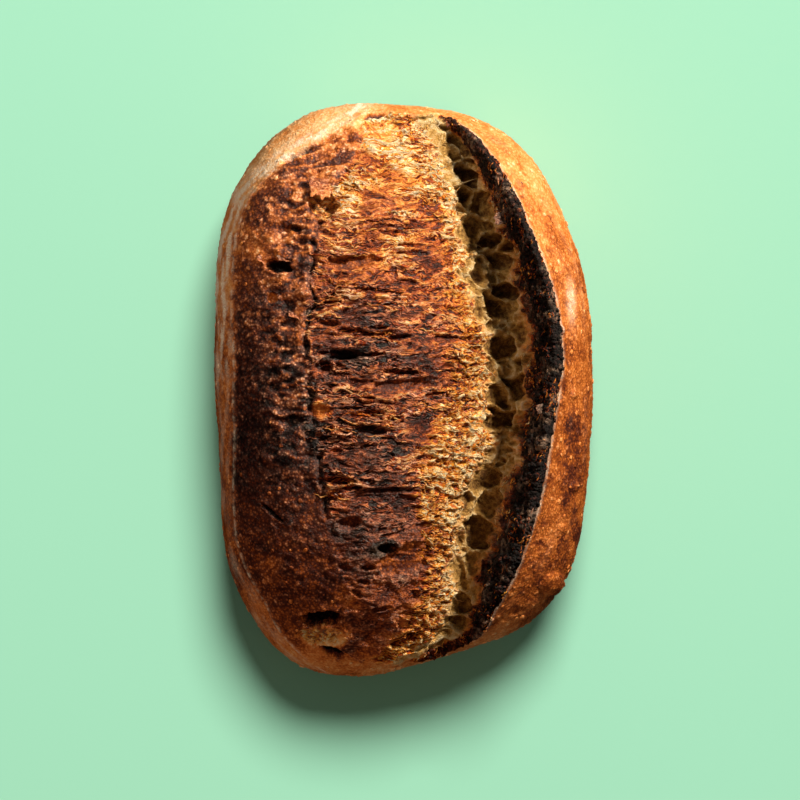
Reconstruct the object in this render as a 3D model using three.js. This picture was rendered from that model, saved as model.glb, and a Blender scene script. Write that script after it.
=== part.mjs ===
// A sourdough batard, baked as one piece: an oval hearth loaf that lies on its flat base.
// One long score along the right shoulder has opened in the oven. The flap of crust beside it
// stands up as the ear, the torn bloom swells up to the left of it, and between the two runs a
// valley of open crumb. A shallow crease marks where the bloom tore away from the left crust.
//
// The loaf is a loft: a ring of points round the loaf for each station along Y, closed by a
// point at each end. +X is the ear's side, +Y the far end and +Z up. Lengths are millimetres.

import * as THREE from "three";

// Driving dimensions
const LENGTH = 250;
const WIDTH = 166;
const CROWN_HEIGHT = 88; // the bloom's highest line, above the base
const BELLY_HEIGHT = 33; // where the flanks reach furthest out
const END_HEIGHT = 30; // where the two rounded ends reach furthest out
const NEAR_END_X = -22; // both ends lie to the left of the loaf's middle
const FAR_END_X = -13;
const EAR_LIFT = 14; // how far the ear stands above the crust it was lifted from
const EAR_THICKNESS = 2.6;
const EAR_BEVEL = 1; // how much lower the ear's inner edge is than its outer one
const VALLEY_DEPTH = 21; // below the same crust
const CREASE_DEPTH = 2.4;
const CREASE_HALF_WIDTH = 3.5;

// Roundness of each curve, as a superellipse exponent: 2 is an ellipse, more is squarer
const PLAN_ROUNDNESS = 2.7;
const CROWN_ROUNDNESS = 2.35;
const SHOULDER_ROUNDNESS = 2.4;
const BELLY_ROUNDNESS = 2.1;

// Shares of the half length or half width
const BASE_SHARE = 0.74; // the flat base's width against the loaf's
const BASE_END = 0.79; // where the base starts to curve up towards the ends
const CROWN_LINE = -0.17; // the crown lies a little left of the middle

// Lines along the loaf. Each pair is [place along the half length, place across the half width]
const EAR_LINE = [
  [-1, 0.85], [-0.9, 0.83], [-0.77, 0.67], [-0.5, 0.7], [-0.2, 0.76],
  [0.15, 0.82], [0.5, 0.78], [0.83, 0.69], [1, 0.68],
];
const VALLEY_LINE = [
  [-1, 0.5], [-0.78, 0.43], [-0.5, 0.37], [-0.23, 0.49],
  [0.15, 0.55], [0.5, 0.49], [0.75, 0.46], [1, 0.5],
];
const CREASE_LINE = [
  [-1, -0.3], [-0.7, -0.32], [-0.3, -0.42], [0, -0.48],
  [0.3, -0.49], [0.65, -0.43], [0.85, -0.25], [1, -0.26],
];
// How full the right side is: the near right corner is flattened
const RIGHT_FULLNESS = [[-1, 0.45], [-0.94, 0.7], [-0.86, 0.94], [-0.78, 1], [0, 1], [1, 1]];
// How far the score has opened, from 0 to 1
const OPENING = [
  [-1, 0], [-0.95, 0], [-0.82, 0.45], [-0.55, 0.85], [-0.1, 1],
  [0.5, 0.95], [0.85, 0.55], [0.97, 0], [1, 0],
];

// Handles of the three curves across the opened side, in millimetres at the loaf's full width
const TIP_HANDLE = [0.5, -9]; // the flank comes up to the ear's tip nearly upright
const FLANK_HANDLE_SHARE = 0.55; // of the height from the belly to the tip
const FACE_HANDLE = [-2.5, -9]; // the ear's inner face drops and leans to the valley
const VALLEY_FROM_EAR = [8, 0.5];
const VALLEY_TO_BLOOM = [-9, 3];
const CROWN_HANDLE = [34, 0];
const CLOSING_RATE = 4; // the valley heals over where it is open by less than a quarter

// Points round the ring, and stations along the loaf
const STATIONS = 50;
const STATION_CROWDING = 0.8; // 0 spaces them evenly, 1 crowds them most towards the ends
const BASE_POINTS = 3;
const BELLY_POINTS = 5;
const FLANK_POINTS = 7;
const EAR_POINTS = 5;
const BLOOM_POINTS = 11;
const CRUST_POINTS = 16;

const halfLength = LENGTH / 2;
const halfWidth = WIDTH / 2;

// A smooth curve through [place, value] pairs
function valueOn(line, place) {
  const last = line.length - 1;
  let i = 0;
  while (i < last - 1 && place > line[i + 1][0]) i += 1;
  const slope = (k) => {
    const a = line[Math.max(k - 1, 0)];
    const b = line[Math.min(k + 1, last)];
    return (b[1] - a[1]) / (b[0] - a[0]);
  };
  const [x0, y0] = line[i];
  const [x1, y1] = line[i + 1];
  const span = x1 - x0;
  const u = THREE.MathUtils.clamp((place - x0) / span, 0, 1);
  const rise = y1 - y0;
  const leaving = slope(i) * span - rise;
  const arriving = slope(i + 1) * span - rise;
  return y0 + rise * u + u * (1 - u) * ((1 - u) * leaving - u * arriving);
}

// Height of a quarter superellipse of unit radii, at a distance of 0 to 1 from its middle
function quarter(distance, roundness) {
  return (1 - Math.min(Math.abs(distance), 1) ** roundness) ** (1 / roundness);
}

// The loaf's size at a place along it, from -1 to 1
function stationAt(place) {
  const endX = place < 0 ? NEAR_END_X : FAR_END_X;
  const width = quarter(place, PLAN_ROUNDNESS);
  const left = endX - (halfWidth + endX) * width;
  const right = endX + (halfWidth - endX) * width * valueOn(RIGHT_FULLNESS, place);
  const half = (right - left) / 2;
  const middle = (right + left) / 2;
  const beyondBase = Math.max((Math.abs(place) - BASE_END) / (1 - BASE_END), 0);
  const rise = quarter(place, CROWN_ROUNDNESS);
  return {
    half,
    middle,
    size: half / halfWidth,
    bottom: END_HEIGHT * (1 - quarter(beyondBase, BELLY_ROUNDNESS)),
    belly: THREE.MathUtils.lerp(END_HEIGHT, BELLY_HEIGHT, rise),
    top: THREE.MathUtils.lerp(END_HEIGHT, CROWN_HEIGHT, rise),
    opening: valueOn(OPENING, place),
    across: (share) => middle + half * share,
  };
}

// Height of the crust over a place across the loaf, before the score opened it
function crustHeight(station, x) {
  const crown = station.across(CROWN_LINE);
  const edge = station.across(x > crown ? 1 : -1);
  const distance = edge === crown ? 0 : (x - crown) / (edge - crown);
  return THREE.MathUtils.lerp(station.belly, station.top, quarter(distance, SHOULDER_ROUNDNESS));
}

// The lower flank on one side, from the base's edge up to the belly: side is 1 or -1
function lowerFlank(station, side) {
  const points = [];
  for (let i = 0; i < BELLY_POINTS; i += 1) {
    const drop = Math.cos((i / BELLY_POINTS) * (Math.PI / 2));
    const reach = THREE.MathUtils.lerp(BASE_SHARE, 1, quarter(drop, BELLY_ROUNDNESS));
    const height = THREE.MathUtils.lerp(station.belly, station.bottom, drop);
    points.push(new THREE.Vector2(station.across(side * reach), height));
  }
  return points;
}

// The opened side, from the right belly over the ear and the valley to the crown
function openedSide(station, place) {
  const open = station.opening;
  const scaled = ([x, z]) => new THREE.Vector2(x, z).multiplyScalar(station.size);
  const lifted = (x, lift) => new THREE.Vector2(x, crustHeight(station, x) + lift * open);
  const between = (from, leave, arrive, to) =>
    new THREE.CubicBezierCurve(from, from.clone().add(leave), to.clone().add(arrive), to);

  const earX = station.across(valueOn(EAR_LINE, place));
  const belly = new THREE.Vector2(station.across(1), station.belly);
  const tip = lifted(earX, EAR_LIFT);
  const inner = lifted(earX - EAR_THICKNESS * station.size, EAR_LIFT - EAR_BEVEL);
  const valley = lifted(station.across(valueOn(VALLEY_LINE, place)), -VALLEY_DEPTH);
  const crown = new THREE.Vector2(station.across(CROWN_LINE), station.top);

  const upright = new THREE.Vector2(0, (tip.y - belly.y) * FLANK_HANDLE_SHARE);
  const flank = between(belly, upright, scaled(TIP_HANDLE), tip);
  const face = between(inner, scaled(FACE_HANDLE), scaled(VALLEY_FROM_EAR), valley);
  const bloom = between(valley, scaled(VALLEY_TO_BLOOM), scaled(CROWN_HANDLE), crown);
  const opened = [
    ...flank.getPoints(FLANK_POINTS),
    ...face.getPoints(EAR_POINTS),
    ...bloom.getPoints(BLOOM_POINTS).slice(1),
  ];
  // Towards the ends the score closes, and the points go back to the unbroken crust
  const closed = THREE.MathUtils.clamp(1 - open * CLOSING_RATE, 0, 1);
  const healed = (p) => THREE.MathUtils.lerp(p.y, crustHeight(station, p.x), closed);
  return opened.map((p) => new THREE.Vector2(p.x, healed(p)));
}

// The whole crust on the left, from the crown over the crease down to the belly
function wholeSide(station, place) {
  const crownX = station.across(CROWN_LINE);
  const creaseX = station.across(valueOn(CREASE_LINE, place));
  const edgeX = station.across(-1);
  const points = [];
  for (let i = 1; i <= CRUST_POINTS; i += 1) {
    const turn = (i / CRUST_POINTS) * (Math.PI / 2);
    const x = THREE.MathUtils.lerp(crownX, edgeX, Math.sin(turn));
    const near = Math.max(1 - Math.abs(x - creaseX) / CREASE_HALF_WIDTH, 0);
    const sunk = CREASE_DEPTH * near * station.opening;
    points.push(new THREE.Vector2(x, crustHeight(station, x) - sunk));
  }
  return points;
}

// One ring of the loft: up the right side, over the top, down the left and back along the base
function ringAt(place) {
  const station = stationAt(place);
  const base = [];
  for (let i = 1; i <= BASE_POINTS; i += 1) {
    const share = THREE.MathUtils.lerp(-BASE_SHARE, BASE_SHARE, i / (BASE_POINTS + 1));
    base.push(new THREE.Vector2(station.across(share), station.bottom));
  }
  return [
    ...lowerFlank(station, 1),
    ...openedSide(station, place),
    ...wholeSide(station, place),
    ...lowerFlank(station, -1).reverse(),
    ...base,
  ];
}

// Stations stand closer together towards the rounded ends
function placeOf(index) {
  const even = (index / (STATIONS + 1)) * 2 - 1;
  return THREE.MathUtils.lerp(even, Math.sin((even * Math.PI) / 2), STATION_CROWDING);
}

function loafGeometry() {
  const rings = [];
  for (let i = 1; i <= STATIONS; i += 1) {
    const place = placeOf(i);
    rings.push(ringAt(place).map((p) => new THREE.Vector3(p.x, place * halfLength, p.y)));
  }
  const nearPoint = new THREE.Vector3(NEAR_END_X, -halfLength, END_HEIGHT);
  const farPoint = new THREE.Vector3(FAR_END_X, halfLength, END_HEIGHT);
  const corners = [...rings.flat(), nearPoint, farPoint];

  const count = rings[0].length;
  const lastRing = (STATIONS - 1) * count;
  const nearEnd = corners.length - 2;
  const farEnd = corners.length - 1;
  const index = [];
  for (let j = 0; j < count; j += 1) {
    const k = (j + 1) % count;
    for (let here = 0; here < lastRing; here += count) {
      const next = here + count;
      index.push(here + j, next + k, here + k, here + j, next + j, next + k);
    }
    index.push(nearEnd, j, k, farEnd, lastRing + k, lastRing + j);
  }

  const geometry = new THREE.BufferGeometry().setFromPoints(corners);
  geometry.setIndex(index);
  geometry.computeBoundingBox();
  const { min, max } = geometry.boundingBox;
  geometry.translate(-(min.x + max.x) / 2, -(min.y + max.y) / 2, -min.z);
  geometry.computeVertexNormals();
  return geometry;
}

const crust = new THREE.MeshStandardMaterial({ color: "#7a4322", roughness: 0.62, metalness: 0 });

const loaf = new THREE.Mesh(loafGeometry(), crust);
loaf.name = "sourdough_loaf";

const part = new THREE.Group();
part.add(loaf);

export default part;
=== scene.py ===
import math
import time
from types import SimpleNamespace

import bpy
import numpy as np
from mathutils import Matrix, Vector


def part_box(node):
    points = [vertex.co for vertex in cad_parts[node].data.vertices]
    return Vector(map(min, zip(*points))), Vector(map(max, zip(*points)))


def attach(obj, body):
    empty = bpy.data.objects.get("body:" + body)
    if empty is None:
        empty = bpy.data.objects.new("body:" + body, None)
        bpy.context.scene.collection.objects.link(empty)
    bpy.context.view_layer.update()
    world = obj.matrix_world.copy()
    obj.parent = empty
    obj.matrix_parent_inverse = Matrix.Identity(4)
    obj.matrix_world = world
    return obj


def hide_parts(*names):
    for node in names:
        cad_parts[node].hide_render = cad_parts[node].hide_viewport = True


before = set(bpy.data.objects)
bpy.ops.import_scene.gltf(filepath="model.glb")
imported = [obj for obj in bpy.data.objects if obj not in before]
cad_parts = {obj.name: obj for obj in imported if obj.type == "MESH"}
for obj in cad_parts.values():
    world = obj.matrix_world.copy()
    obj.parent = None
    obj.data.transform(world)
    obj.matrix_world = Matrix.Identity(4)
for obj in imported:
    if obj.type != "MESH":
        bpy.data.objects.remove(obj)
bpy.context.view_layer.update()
startTime = time.time()
mm = 0.001  # shapes are worked out in millimetres and turned to metres as they become meshes


def report(stage):
    print(f"{stage}: {time.time() - startTime:.1f} s")


def clamp01(value):
    return np.clip(value, 0.0, 1.0)


def rampUp(low, high, value):
    t = clamp01((value - low) / (high - low))
    return t * t * (3 - 2 * t)


def blendTo(a, b, share):
    return a + (b - a) * share


def alongLine(line, place):
    # smooth curve through [place, value] pairs, the same one the CAD loaf is lofted on
    xs, ys = np.array(line, float).T
    slopes = np.empty_like(ys)
    slopes[1:-1] = (ys[2:] - ys[:-2]) / (xs[2:] - xs[:-2])
    slopes[0] = (ys[1] - ys[0]) / (xs[1] - xs[0])
    slopes[-1] = (ys[-1] - ys[-2]) / (xs[-1] - xs[-2])
    i = np.clip(np.searchsorted(xs, place, side="right") - 1, 0, len(xs) - 2)
    span = xs[i + 1] - xs[i]
    rise = ys[i + 1] - ys[i]
    u = clamp01((place - xs[i]) / span)
    leaving = slopes[i] * span - rise
    arriving = slopes[i + 1] * span - rise
    return ys[i] + rise * u + u * (1 - u) * ((1 - u) * leaving - u * arriving)


def quarter(distance, roundness):
    return (1 - np.minimum(np.abs(distance), 1) ** roundness) ** (1 / roundness)


def scramble(ix, iy, iz, seed):
    with np.errstate(over="ignore"):
        h = ix.astype(np.uint32) * np.uint32(0x8DA6B343)
        h = h ^ (iy.astype(np.uint32) * np.uint32(0xD8163841))
        h = h ^ (iz.astype(np.uint32) * np.uint32(0xCB1AB31F))
        h = h ^ np.uint32((seed * 0x9E3779B1) & 0xFFFFFFFF)
        h = (h ^ (h >> np.uint32(15))) * np.uint32(0x2C1B3C6D)
        h = (h ^ (h >> np.uint32(12))) * np.uint32(0x297A2D39)
    return h ^ (h >> np.uint32(15))


def noiseFlat(x, y, seed):
    # gradient noise on a plane, about -1 to 1
    x0 = np.floor(x)
    y0 = np.floor(y)
    fx = x - x0
    fy = y - y0
    u = fx * fx * fx * (fx * (fx * 6 - 15) + 10)
    v = fy * fy * fy * (fy * (fy * 6 - 15) + 10)
    ix = x0.astype(np.int64)
    iy = y0.astype(np.int64)
    nought = np.zeros_like(ix)
    total = 0
    for cx in (0, 1):
        for cy in (0, 1):
            turn = scramble(ix + cx, iy + cy, nought, seed) * (2 * math.pi / 2 ** 32)
            dot = np.cos(turn) * (fx - cx) + np.sin(turn) * (fy - cy)
            total = total + dot * (u if cx else 1 - u) * (v if cy else 1 - v)
    return total * 1.5


gradients = np.array([
    [x, y, z] for x in (-1, 0, 1) for y in (-1, 0, 1) for z in (-1, 0, 1)
    if abs(x) + abs(y) + abs(z) == 2
], float)


def noiseSolid(points, size, seed):
    # gradient noise in space, about -1 to 1, with lumps of the given size in mm
    p = points / size
    base = np.floor(p)
    f = p - base
    fade = f * f * f * (f * (f * 6 - 15) + 10)
    cell = base.astype(np.int64)
    total = 0
    for corner in np.ndindex(2, 2, 2):
        h = scramble(*(cell[..., k] + corner[k] for k in range(3)), seed)
        g = gradients[h % np.uint32(12)]
        weight = 1
        dot = 0
        for k in range(3):
            weight = weight * (fade[..., k] if corner[k] else 1 - fade[..., k])
            dot = dot + g[..., k] * (f[..., k] - corner[k])
        total = total + weight * dot
    return total


def layered(points, size, seed, layers=3):
    return sum(noiseSolid(points, size / 2 ** k, seed + k) / 2 ** k for k in range(layers))


def cells(points, size, seed):
    # distance to the nearest and second nearest scattered point, in cell sizes, and its random number
    p = points / size
    base = np.floor(p)
    cell = base.astype(np.int64)
    first = np.full(p.shape[:-1], 9.0)
    second = np.full(p.shape[:-1], 9.0)
    owner = np.zeros(p.shape[:-1])
    for step in np.ndindex(3, 3, 3):
        near = [cell[..., k] + step[k] - 1 for k in range(3)]
        away = 0
        for k in range(3):
            jitter = scramble(*near, seed + 17 * k) / 2 ** 32
            away = away + (near[k] + jitter - p[..., k]) ** 2
        away = np.sqrt(away)
        second = np.where(away < first, first, np.minimum(second, away))
        owner = np.where(away < first, scramble(*near, seed + 91) / 2 ** 32, owner)
        first = np.minimum(first, away)
    return first, second, owner


# the loaf's own lines and sizes, the ones its CAD solid is lofted on
low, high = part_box("sourdough_loaf")
loaf = {
    "length": (high.y - low.y) / mm,
    "width": (high.x - low.x) / mm,
    "crownHeight": (high.z - low.z) / mm,
    "bellyHeight": 33,
    "endHeight": 30,
    "endX": (-22, -13),  # near and far end
    "earLift": 14,
    "earThickness": 2.6,
    "earBevel": 1,
    "valleyDepth": 21,
    "planRoundness": 2.7,
    "crownRoundness": 2.35,
    "shoulderRoundness": 2.4,
    "bellyRoundness": 2.1,
    "baseShare": 0.74,
    "baseEnd": 0.79,
    "crownLine": -0.17,
    "tipHandle": (0.5, -9),
    "flankHandleShare": 0.55,
    "faceHandle": (-2.5, -9),
    "valleyFromEar": (8, 0.5),
    "valleyToBloom": (-9, 3),
    "crownHandle": (34, 0),
    "closingRate": 4,
    "rows": 560,  # cut to the triangle limit afterwards
    "rowCrowding": 0.45,
    "capRows": 12,  # rows between the last of those and the very end, which it closes on
    "triangles": 196000,
}

# [place along the half length, share of the half width]
earLine = [[-1, 0.85], [-0.9, 0.83], [-0.77, 0.67], [-0.5, 0.7], [-0.2, 0.76],
           [0.15, 0.82], [0.5, 0.78], [0.83, 0.69], [1, 0.68]]
valleyLine = [[-1, 0.5], [-0.78, 0.43], [-0.5, 0.37], [-0.23, 0.49],
              [0.15, 0.55], [0.5, 0.49], [0.75, 0.46], [1, 0.5]]
creaseLine = [[-1, -0.3], [-0.7, -0.32], [-0.3, -0.42], [0, -0.48],
              [0.3, -0.49], [0.65, -0.43], [0.85, -0.25], [1, -0.26]]
rightFullness = [[-1, 0.45], [-0.94, 0.7], [-0.86, 0.94], [-0.78, 1], [0, 1], [1, 1]]
opening = [[-1, 0], [-0.95, 0], [-0.82, 0.45], [-0.55, 0.85], [-0.1, 1],
           [0.5, 0.95], [0.85, 0.55], [0.97, 0], [1, 0]]
# where the cream crumb starts, where the bloom turns golden before it, and the edge of the dark crust
crumbEdge = [[-1, 0.42], [-0.8, 0.38], [-0.64, 0.32], [-0.5, 0.31], [-0.37, 0.31], [-0.23, 0.42],
             [-0.09, 0.43], [0.05, 0.44], [0.19, 0.42], [0.33, 0.34], [0.46, 0.32], [0.6, 0.31],
             [0.74, 0.33], [0.88, 0.28], [1, 0.3]]
goldenEdge = [[-1, 0.1], [-0.64, 0.17], [-0.5, 0.14], [-0.37, 0.09], [-0.23, 0.13], [-0.09, 0.19],
              [0.05, 0.27], [0.19, 0.28], [0.33, 0.27], [0.46, 0.26], [0.6, 0.19], [0.74, 0.14],
              [0.88, 0.06], [1, 0.05]]
crustEdge = [[-1, -0.6], [-0.87, -0.82], [-0.73, -0.86], [-0.48, -0.925], [-0.1, -0.9], [0.11, -0.89],
             [0.6, -0.889], [0.75, -0.79], [0.9, -0.49], [1, -0.1]]

halfLength = loaf["length"] / 2
halfWidth = loaf["width"] / 2

# columns of each band round the section, and how far up the right side each one starts
bands = {
    "rightBelly": 16,
    "rightFlank": 52,
    "earTip": 4,
    "earFace": 60,
    "bloom": 120,
    "crust": 96,
    "leftBelly": 16,
    "base": 14,
}


def bezier(t, *corners):
    a, b, c, d = corners
    s = 1 - t
    return s ** 3 * a + 3 * s * s * t * b + 3 * s * t * t * c + t ** 3 * d


def rowPlaces():
    # rows crowd towards the two ends, and the last few of them close on the very end
    even = np.linspace(-1, 1, loaf["rows"] + 2)[1:-1]
    place = blendTo(even, np.sin(even * math.pi / 2), loaf["rowCrowding"])
    lastWidth = quarter(place[-1], loaf["planRoundness"])
    caps = quarter(lastWidth * np.arange(1, loaf["capRows"]) / loaf["capRows"], loaf["planRoundness"])
    return np.concatenate([-caps, place, caps[::-1]])[:, None]


def outlineAt(place):
    # how wide and how high the section is at each place along the loaf, and how far the score opened
    endX = np.where(place < 0, *loaf["endX"])
    width = quarter(place, loaf["planRoundness"])
    left = endX - (halfWidth + endX) * width
    right = endX + (halfWidth - endX) * width * alongLine(rightFullness, place)
    rise = quarter(place, loaf["crownRoundness"])
    beyondBase = np.maximum((np.abs(place) - loaf["baseEnd"]) / (1 - loaf["baseEnd"]), 0)
    plan = SimpleNamespace(half=(right - left) / 2, middle=(right + left) / 2)
    plan.bottom = loaf["endHeight"] * (1 - quarter(beyondBase, loaf["bellyRoundness"]))
    plan.belly = blendTo(loaf["endHeight"], loaf["bellyHeight"], rise)
    plan.top = blendTo(loaf["endHeight"], loaf["crownHeight"], rise)
    plan.opened = np.clip(alongLine(opening, place), 0, 1)
    plan.crownX = plan.middle + plan.half * loaf["crownLine"]
    return plan


def crustHeight(plan, x):
    # the dome over the section, as it would be without the score
    edge = np.where(x > plan.crownX, plan.middle + plan.half, plan.middle - plan.half)
    distance = (x - plan.crownX) / np.where(np.abs(edge - plan.crownX) < 1e-6, 1e-6, edge - plan.crownX)
    return blendTo(plan.belly, plan.top, quarter(distance, loaf["shoulderRoundness"]))


def steps(name):
    return (np.arange(bands[name]) / bands[name])[None, :]


def bellySection(plan, name, side):
    # from the base out to the widest line on the right (1), and back in on the left (-1)
    turn = steps(name) * math.pi / 2
    drop = np.cos(turn) if side > 0 else np.sin(turn)
    reach = blendTo(loaf["baseShare"], 1, quarter(drop, loaf["bellyRoundness"]))
    return [plan.middle + side * plan.half * reach, blendTo(plan.belly, plan.bottom, drop)]


def scoredSections(plan, place):
    # the right flank up to the ear, its tip and torn face, and the bloom from the valley to the crown
    opened = plan.opened
    size = plan.half / halfWidth
    earX = plan.middle + plan.half * alongLine(earLine, place)
    plan.innerX = earX - loaf["earThickness"] * size
    plan.valleyX = plan.middle + plan.half * alongLine(valleyLine, place)
    tip = (earX, crustHeight(plan, earX) + loaf["earLift"] * opened)
    inner = (plan.innerX, crustHeight(plan, plan.innerX) + (loaf["earLift"] - loaf["earBevel"]) * opened)
    valley = (plan.valleyX, crustHeight(plan, plan.valleyX) - loaf["valleyDepth"] * opened)
    crown = (plan.crownX, plan.top)
    rightEdge = (plan.middle + plan.half, plan.belly)
    upright = (0 * size, (tip[1] - plan.belly) * loaf["flankHandleShare"])

    def handle(name):
        return tuple(value * size for value in loaf[name])

    def curve(name, start, leave, arrive, end):
        t = steps(name)
        return [bezier(t, start[k], start[k] + leave[k], end[k] + arrive[k], end[k]) for k in (0, 1)]

    sections = [
        curve("rightFlank", rightEdge, upright, handle("tipHandle"), tip),
        [blendTo(tip[k], inner[k], steps("earTip")) for k in (0, 1)],
        curve("earFace", inner, handle("faceHandle"), handle("valleyFromEar"), valley),
        curve("bloom", valley, handle("valleyToBloom"), handle("crownHandle"), crown),
    ]
    closed = clamp01(1 - opened * loaf["closingRate"])
    for section in sections:
        section[1] = blendTo(section[1], crustHeight(plan, section[0]), closed)
    return sections


def loafSurface():
    # rows run along Y and columns round the section, up the right side, over and back along the base
    place = rowPlaces()
    plan = outlineAt(place)
    middle, half = plan.middle, plan.half
    crustX = blendTo(plan.crownX, middle - half, np.sin(steps("crust") * math.pi / 2))
    baseX = middle + half * blendTo(-loaf["baseShare"], loaf["baseShare"], steps("base"))
    parts = [
        bellySection(plan, "rightBelly", 1),
        *scoredSections(plan, place),
        [crustX, crustHeight(plan, crustX)],
        bellySection(plan, "leftBelly", -1),
        [baseX, plan.bottom + 0 * baseX],
    ]
    x, z = (np.concatenate([part[k] for part in parts], axis=1) for k in (0, 1))
    at = SimpleNamespace(x=x, y=place * halfLength + 0 * x, z=z, half=half)
    at.points = np.stack([at.x, at.y, at.z], axis=-1)
    at.share = (x - middle) / np.maximum(half, 1e-6)  # -1 at the left edge to 1 at the right
    at.place = place + 0 * x  # -1 at the near end to 1 at the far end
    at.opened = plan.opened + 0 * x
    # 0 at the ear's edge to 1 in the valley
    at.facePlace = clamp01((plan.innerX - x) / np.maximum(plan.innerX - plan.valleyX, 1e-6))
    at.band = {}
    column = np.arange(x.shape[1])
    start = 0
    for name, count in bands.items():
        at.band[name] = ((column >= start) & (column < start + count)) + 0 * x
        start += count
    at.flankRise = np.clip((column - bands["rightBelly"]) / bands["rightFlank"], 0, 1) + 0 * x
    return at


def gridNormals(points):
    alongRows = np.gradient(points, axis=0)
    padded = np.concatenate([points[:, -1:], points, points[:, :1]], axis=1)
    alongColumns = (padded[:, 2:] - padded[:, :-2]) / 2
    normal = np.cross(alongColumns, alongRows)
    length = np.linalg.norm(normal, axis=-1, keepdims=True)
    return -normal / np.maximum(length, 1e-9)


# hollows that the torn crust left open: across, along, half length, half width, turn, depth, tone
# (0 khaki crumb, 0.5 brown, 1 near black)
hollows = [
    (-34.5, 79.5, 6.8, 5.8, -20, 5.0, 0.10),   # under the curled flap
    (-46, 101, 8.5, 1.9, 33, 4.5, 0.90),
    (-46, 69, 3.4, 1.4, -8, 2.0, 0.75),
    (-53, 53, 6.2, 3.4, -10, 4.5, 1.00),
    (-56, 39.5, 2.6, 2.4, 0, 1.6, 0.25),
    (-22, 55, 13.0, 3.6, 6, 2.6, 0.42),
    (-32, 28.5, 4.6, 1.7, -3, 2.0, 0.60),
    (-26, 15, 8.5, 3.0, 2, 3.4, 1.00),
    (-34, 10, 4.2, 3.0, 0, 2.4, 0.70),
    (0, 2, 15.0, 3.2, 4, 1.8, 0.55),
    (-36, -9, 5.0, 3.4, 0, 1.8, 0.30),
    (-14, -17, 9.0, 2.6, -5, 1.8, 0.75),
    (-23, -57, 6.0, 3.2, 10, 2.4, 0.60),
    (-7, -68, 5.5, 2.6, 8, 2.6, 1.00),
    (2, -72.5, 16.0, 7.0, 18, 1.8, 0.45),
    (-15, -76, 3.6, 1.5, 8, 1.6, 0.55),
    (-17, -82, 3.2, 1.3, -8, 1.6, 0.60),
    (-20, -87, 3.0, 1.6, -35, 1.6, 0.60),
    (-36, -99.5, 11.0, 3.6, 8, 5.5, 1.00),
    (-37, -107, 12.0, 4.2, 4, 1.0, 0.02),
    (-31, -113.5, 8.0, 2.0, -12, 2.6, 1.00),
    (22, -107, 5.4, 1.6, 24, 2.6, 0.60),
    (-12, 119, 6.5, 1.7, 10, 2.8, 1.00),
    (4, 118.5, 5.5, 1.5, -8, 2.4, 1.00),
    (-57, -53, 8.5, 1.0, -38, 1.8, 1.00),
]

bloomLook = {
    "strandLength": 26,
    "strandSpacing": 4.2,
    "strandHeight": 1.35,
    "fineHeight": 0.85,
    "hairHeight": 0.5,
    "pocketLength": 9,
    "pockets": 46,
    "seed": 21,
}


def ridges(n, sharpness=2.2):
    return clamp01(1 - np.abs(n) * sharpness)


def strands(x, y):
    # the torn dough stretched across the loaf, so its ridges run along X, merge and part again
    look = bloomLook
    seed = look["seed"]
    long, gap = look["strandLength"], look["strandSpacing"]
    lean = 0.12 * x * noiseFlat(x / 60, y / 40, seed + 6)
    bent = y + lean + 4.0 * noiseFlat(x / 46, y / 30, seed) + 3.4 * noiseFlat(x / 16, y / 10, seed + 1)
    bent = bent + 1.2 * noiseFlat(x / 6.5, y / 4.2, seed + 7)
    wide = ridges(noiseFlat(x / long, bent / gap, seed + 2)) ** 1.6
    fine = ridges(noiseFlat(x / (long * 0.55), bent / (gap * 0.52), seed + 3)) ** 1.4
    hair = ridges(noiseFlat(x / (long * 0.22), bent / (gap * 0.27), seed + 4)) ** 1.2
    swell = noiseFlat(x / 17, bent / 7, seed + 5)
    pulled = rampUp(-0.4, 0.25, noiseFlat(x / 19, bent / 8.5, seed + 8))  # 0 where a stretch is smooth skin
    broken = rampUp(-0.75, 0.1, noiseFlat(x / 8, bent / 3.4, seed + 9))
    wide = wide * (0.35 + 0.65 * broken)
    fine = fine * (0.25 + 0.75 * pulled)
    hair = hair * (0.2 + 0.8 * pulled)
    height = look["strandHeight"] * wide + look["fineHeight"] * fine + look["hairHeight"] * hair + 0.9 * swell
    crest = clamp01(0.6 * wide + 0.5 * fine + 0.35 * hair)
    return height, crest, pulled


def ovalReach(x, y, spec):
    # 0 at the middle of a turned oval and 1 on its edge
    cx, cy, long, wide, turn = spec[:5]
    c, s = math.cos(math.radians(turn)), math.sin(math.radians(turn))
    dx, dy = x - cx, y - cy
    return np.hypot((c * dx + s * dy) / long, (c * dy - s * dx) / wide)


def roundSwell(x, y, cx, cy, reach):
    return np.exp(-((x - cx) ** 2 + (y - cy) ** 2) / reach ** 2)


def hollowAt(x, y, spec):
    # 1 on the floor, 0 outside, and how near its torn lip
    ragged = 0.22 * noiseFlat(x / 3.1, y / 2.3, 77) + 0.1 * noiseFlat(x / 1.2, y / 1.2, 78)
    reach = ovalReach(x, y, spec) + ragged
    return 1 - rampUp(0.62, 1.0, reach), ridges(reach - 1.08, 5)


def randomPockets(rng):
    # spindle pockets between the strands, each with a smooth toasted floor
    found = []
    for _ in range(bloomLook["pockets"]):
        cy = rng.uniform(-100, 108)
        cx = rng.uniform(-34, 28)
        long = bloomLook["pocketLength"] * rng.uniform(0.35, 1.0)
        wide = long * rng.uniform(0.14, 0.26)
        turn = rng.uniform(-9, 9)
        depth = rng.uniform(0.8, 1.8)
        tone = rng.uniform(0.35, 0.8)
        found.append((cx, cy, long, wide, turn, depth, tone))
    return found


# gas cells of the open crumb: cell size, depth, wall thickness as a share of the cell, share that opened
gasCells = [
    (13.0, 7.5, 0.09, 0.85),
    (6.0, 3.2, 0.12, 0.75),
    (2.8, 1.2, 0.20, 0.85),
]


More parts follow.
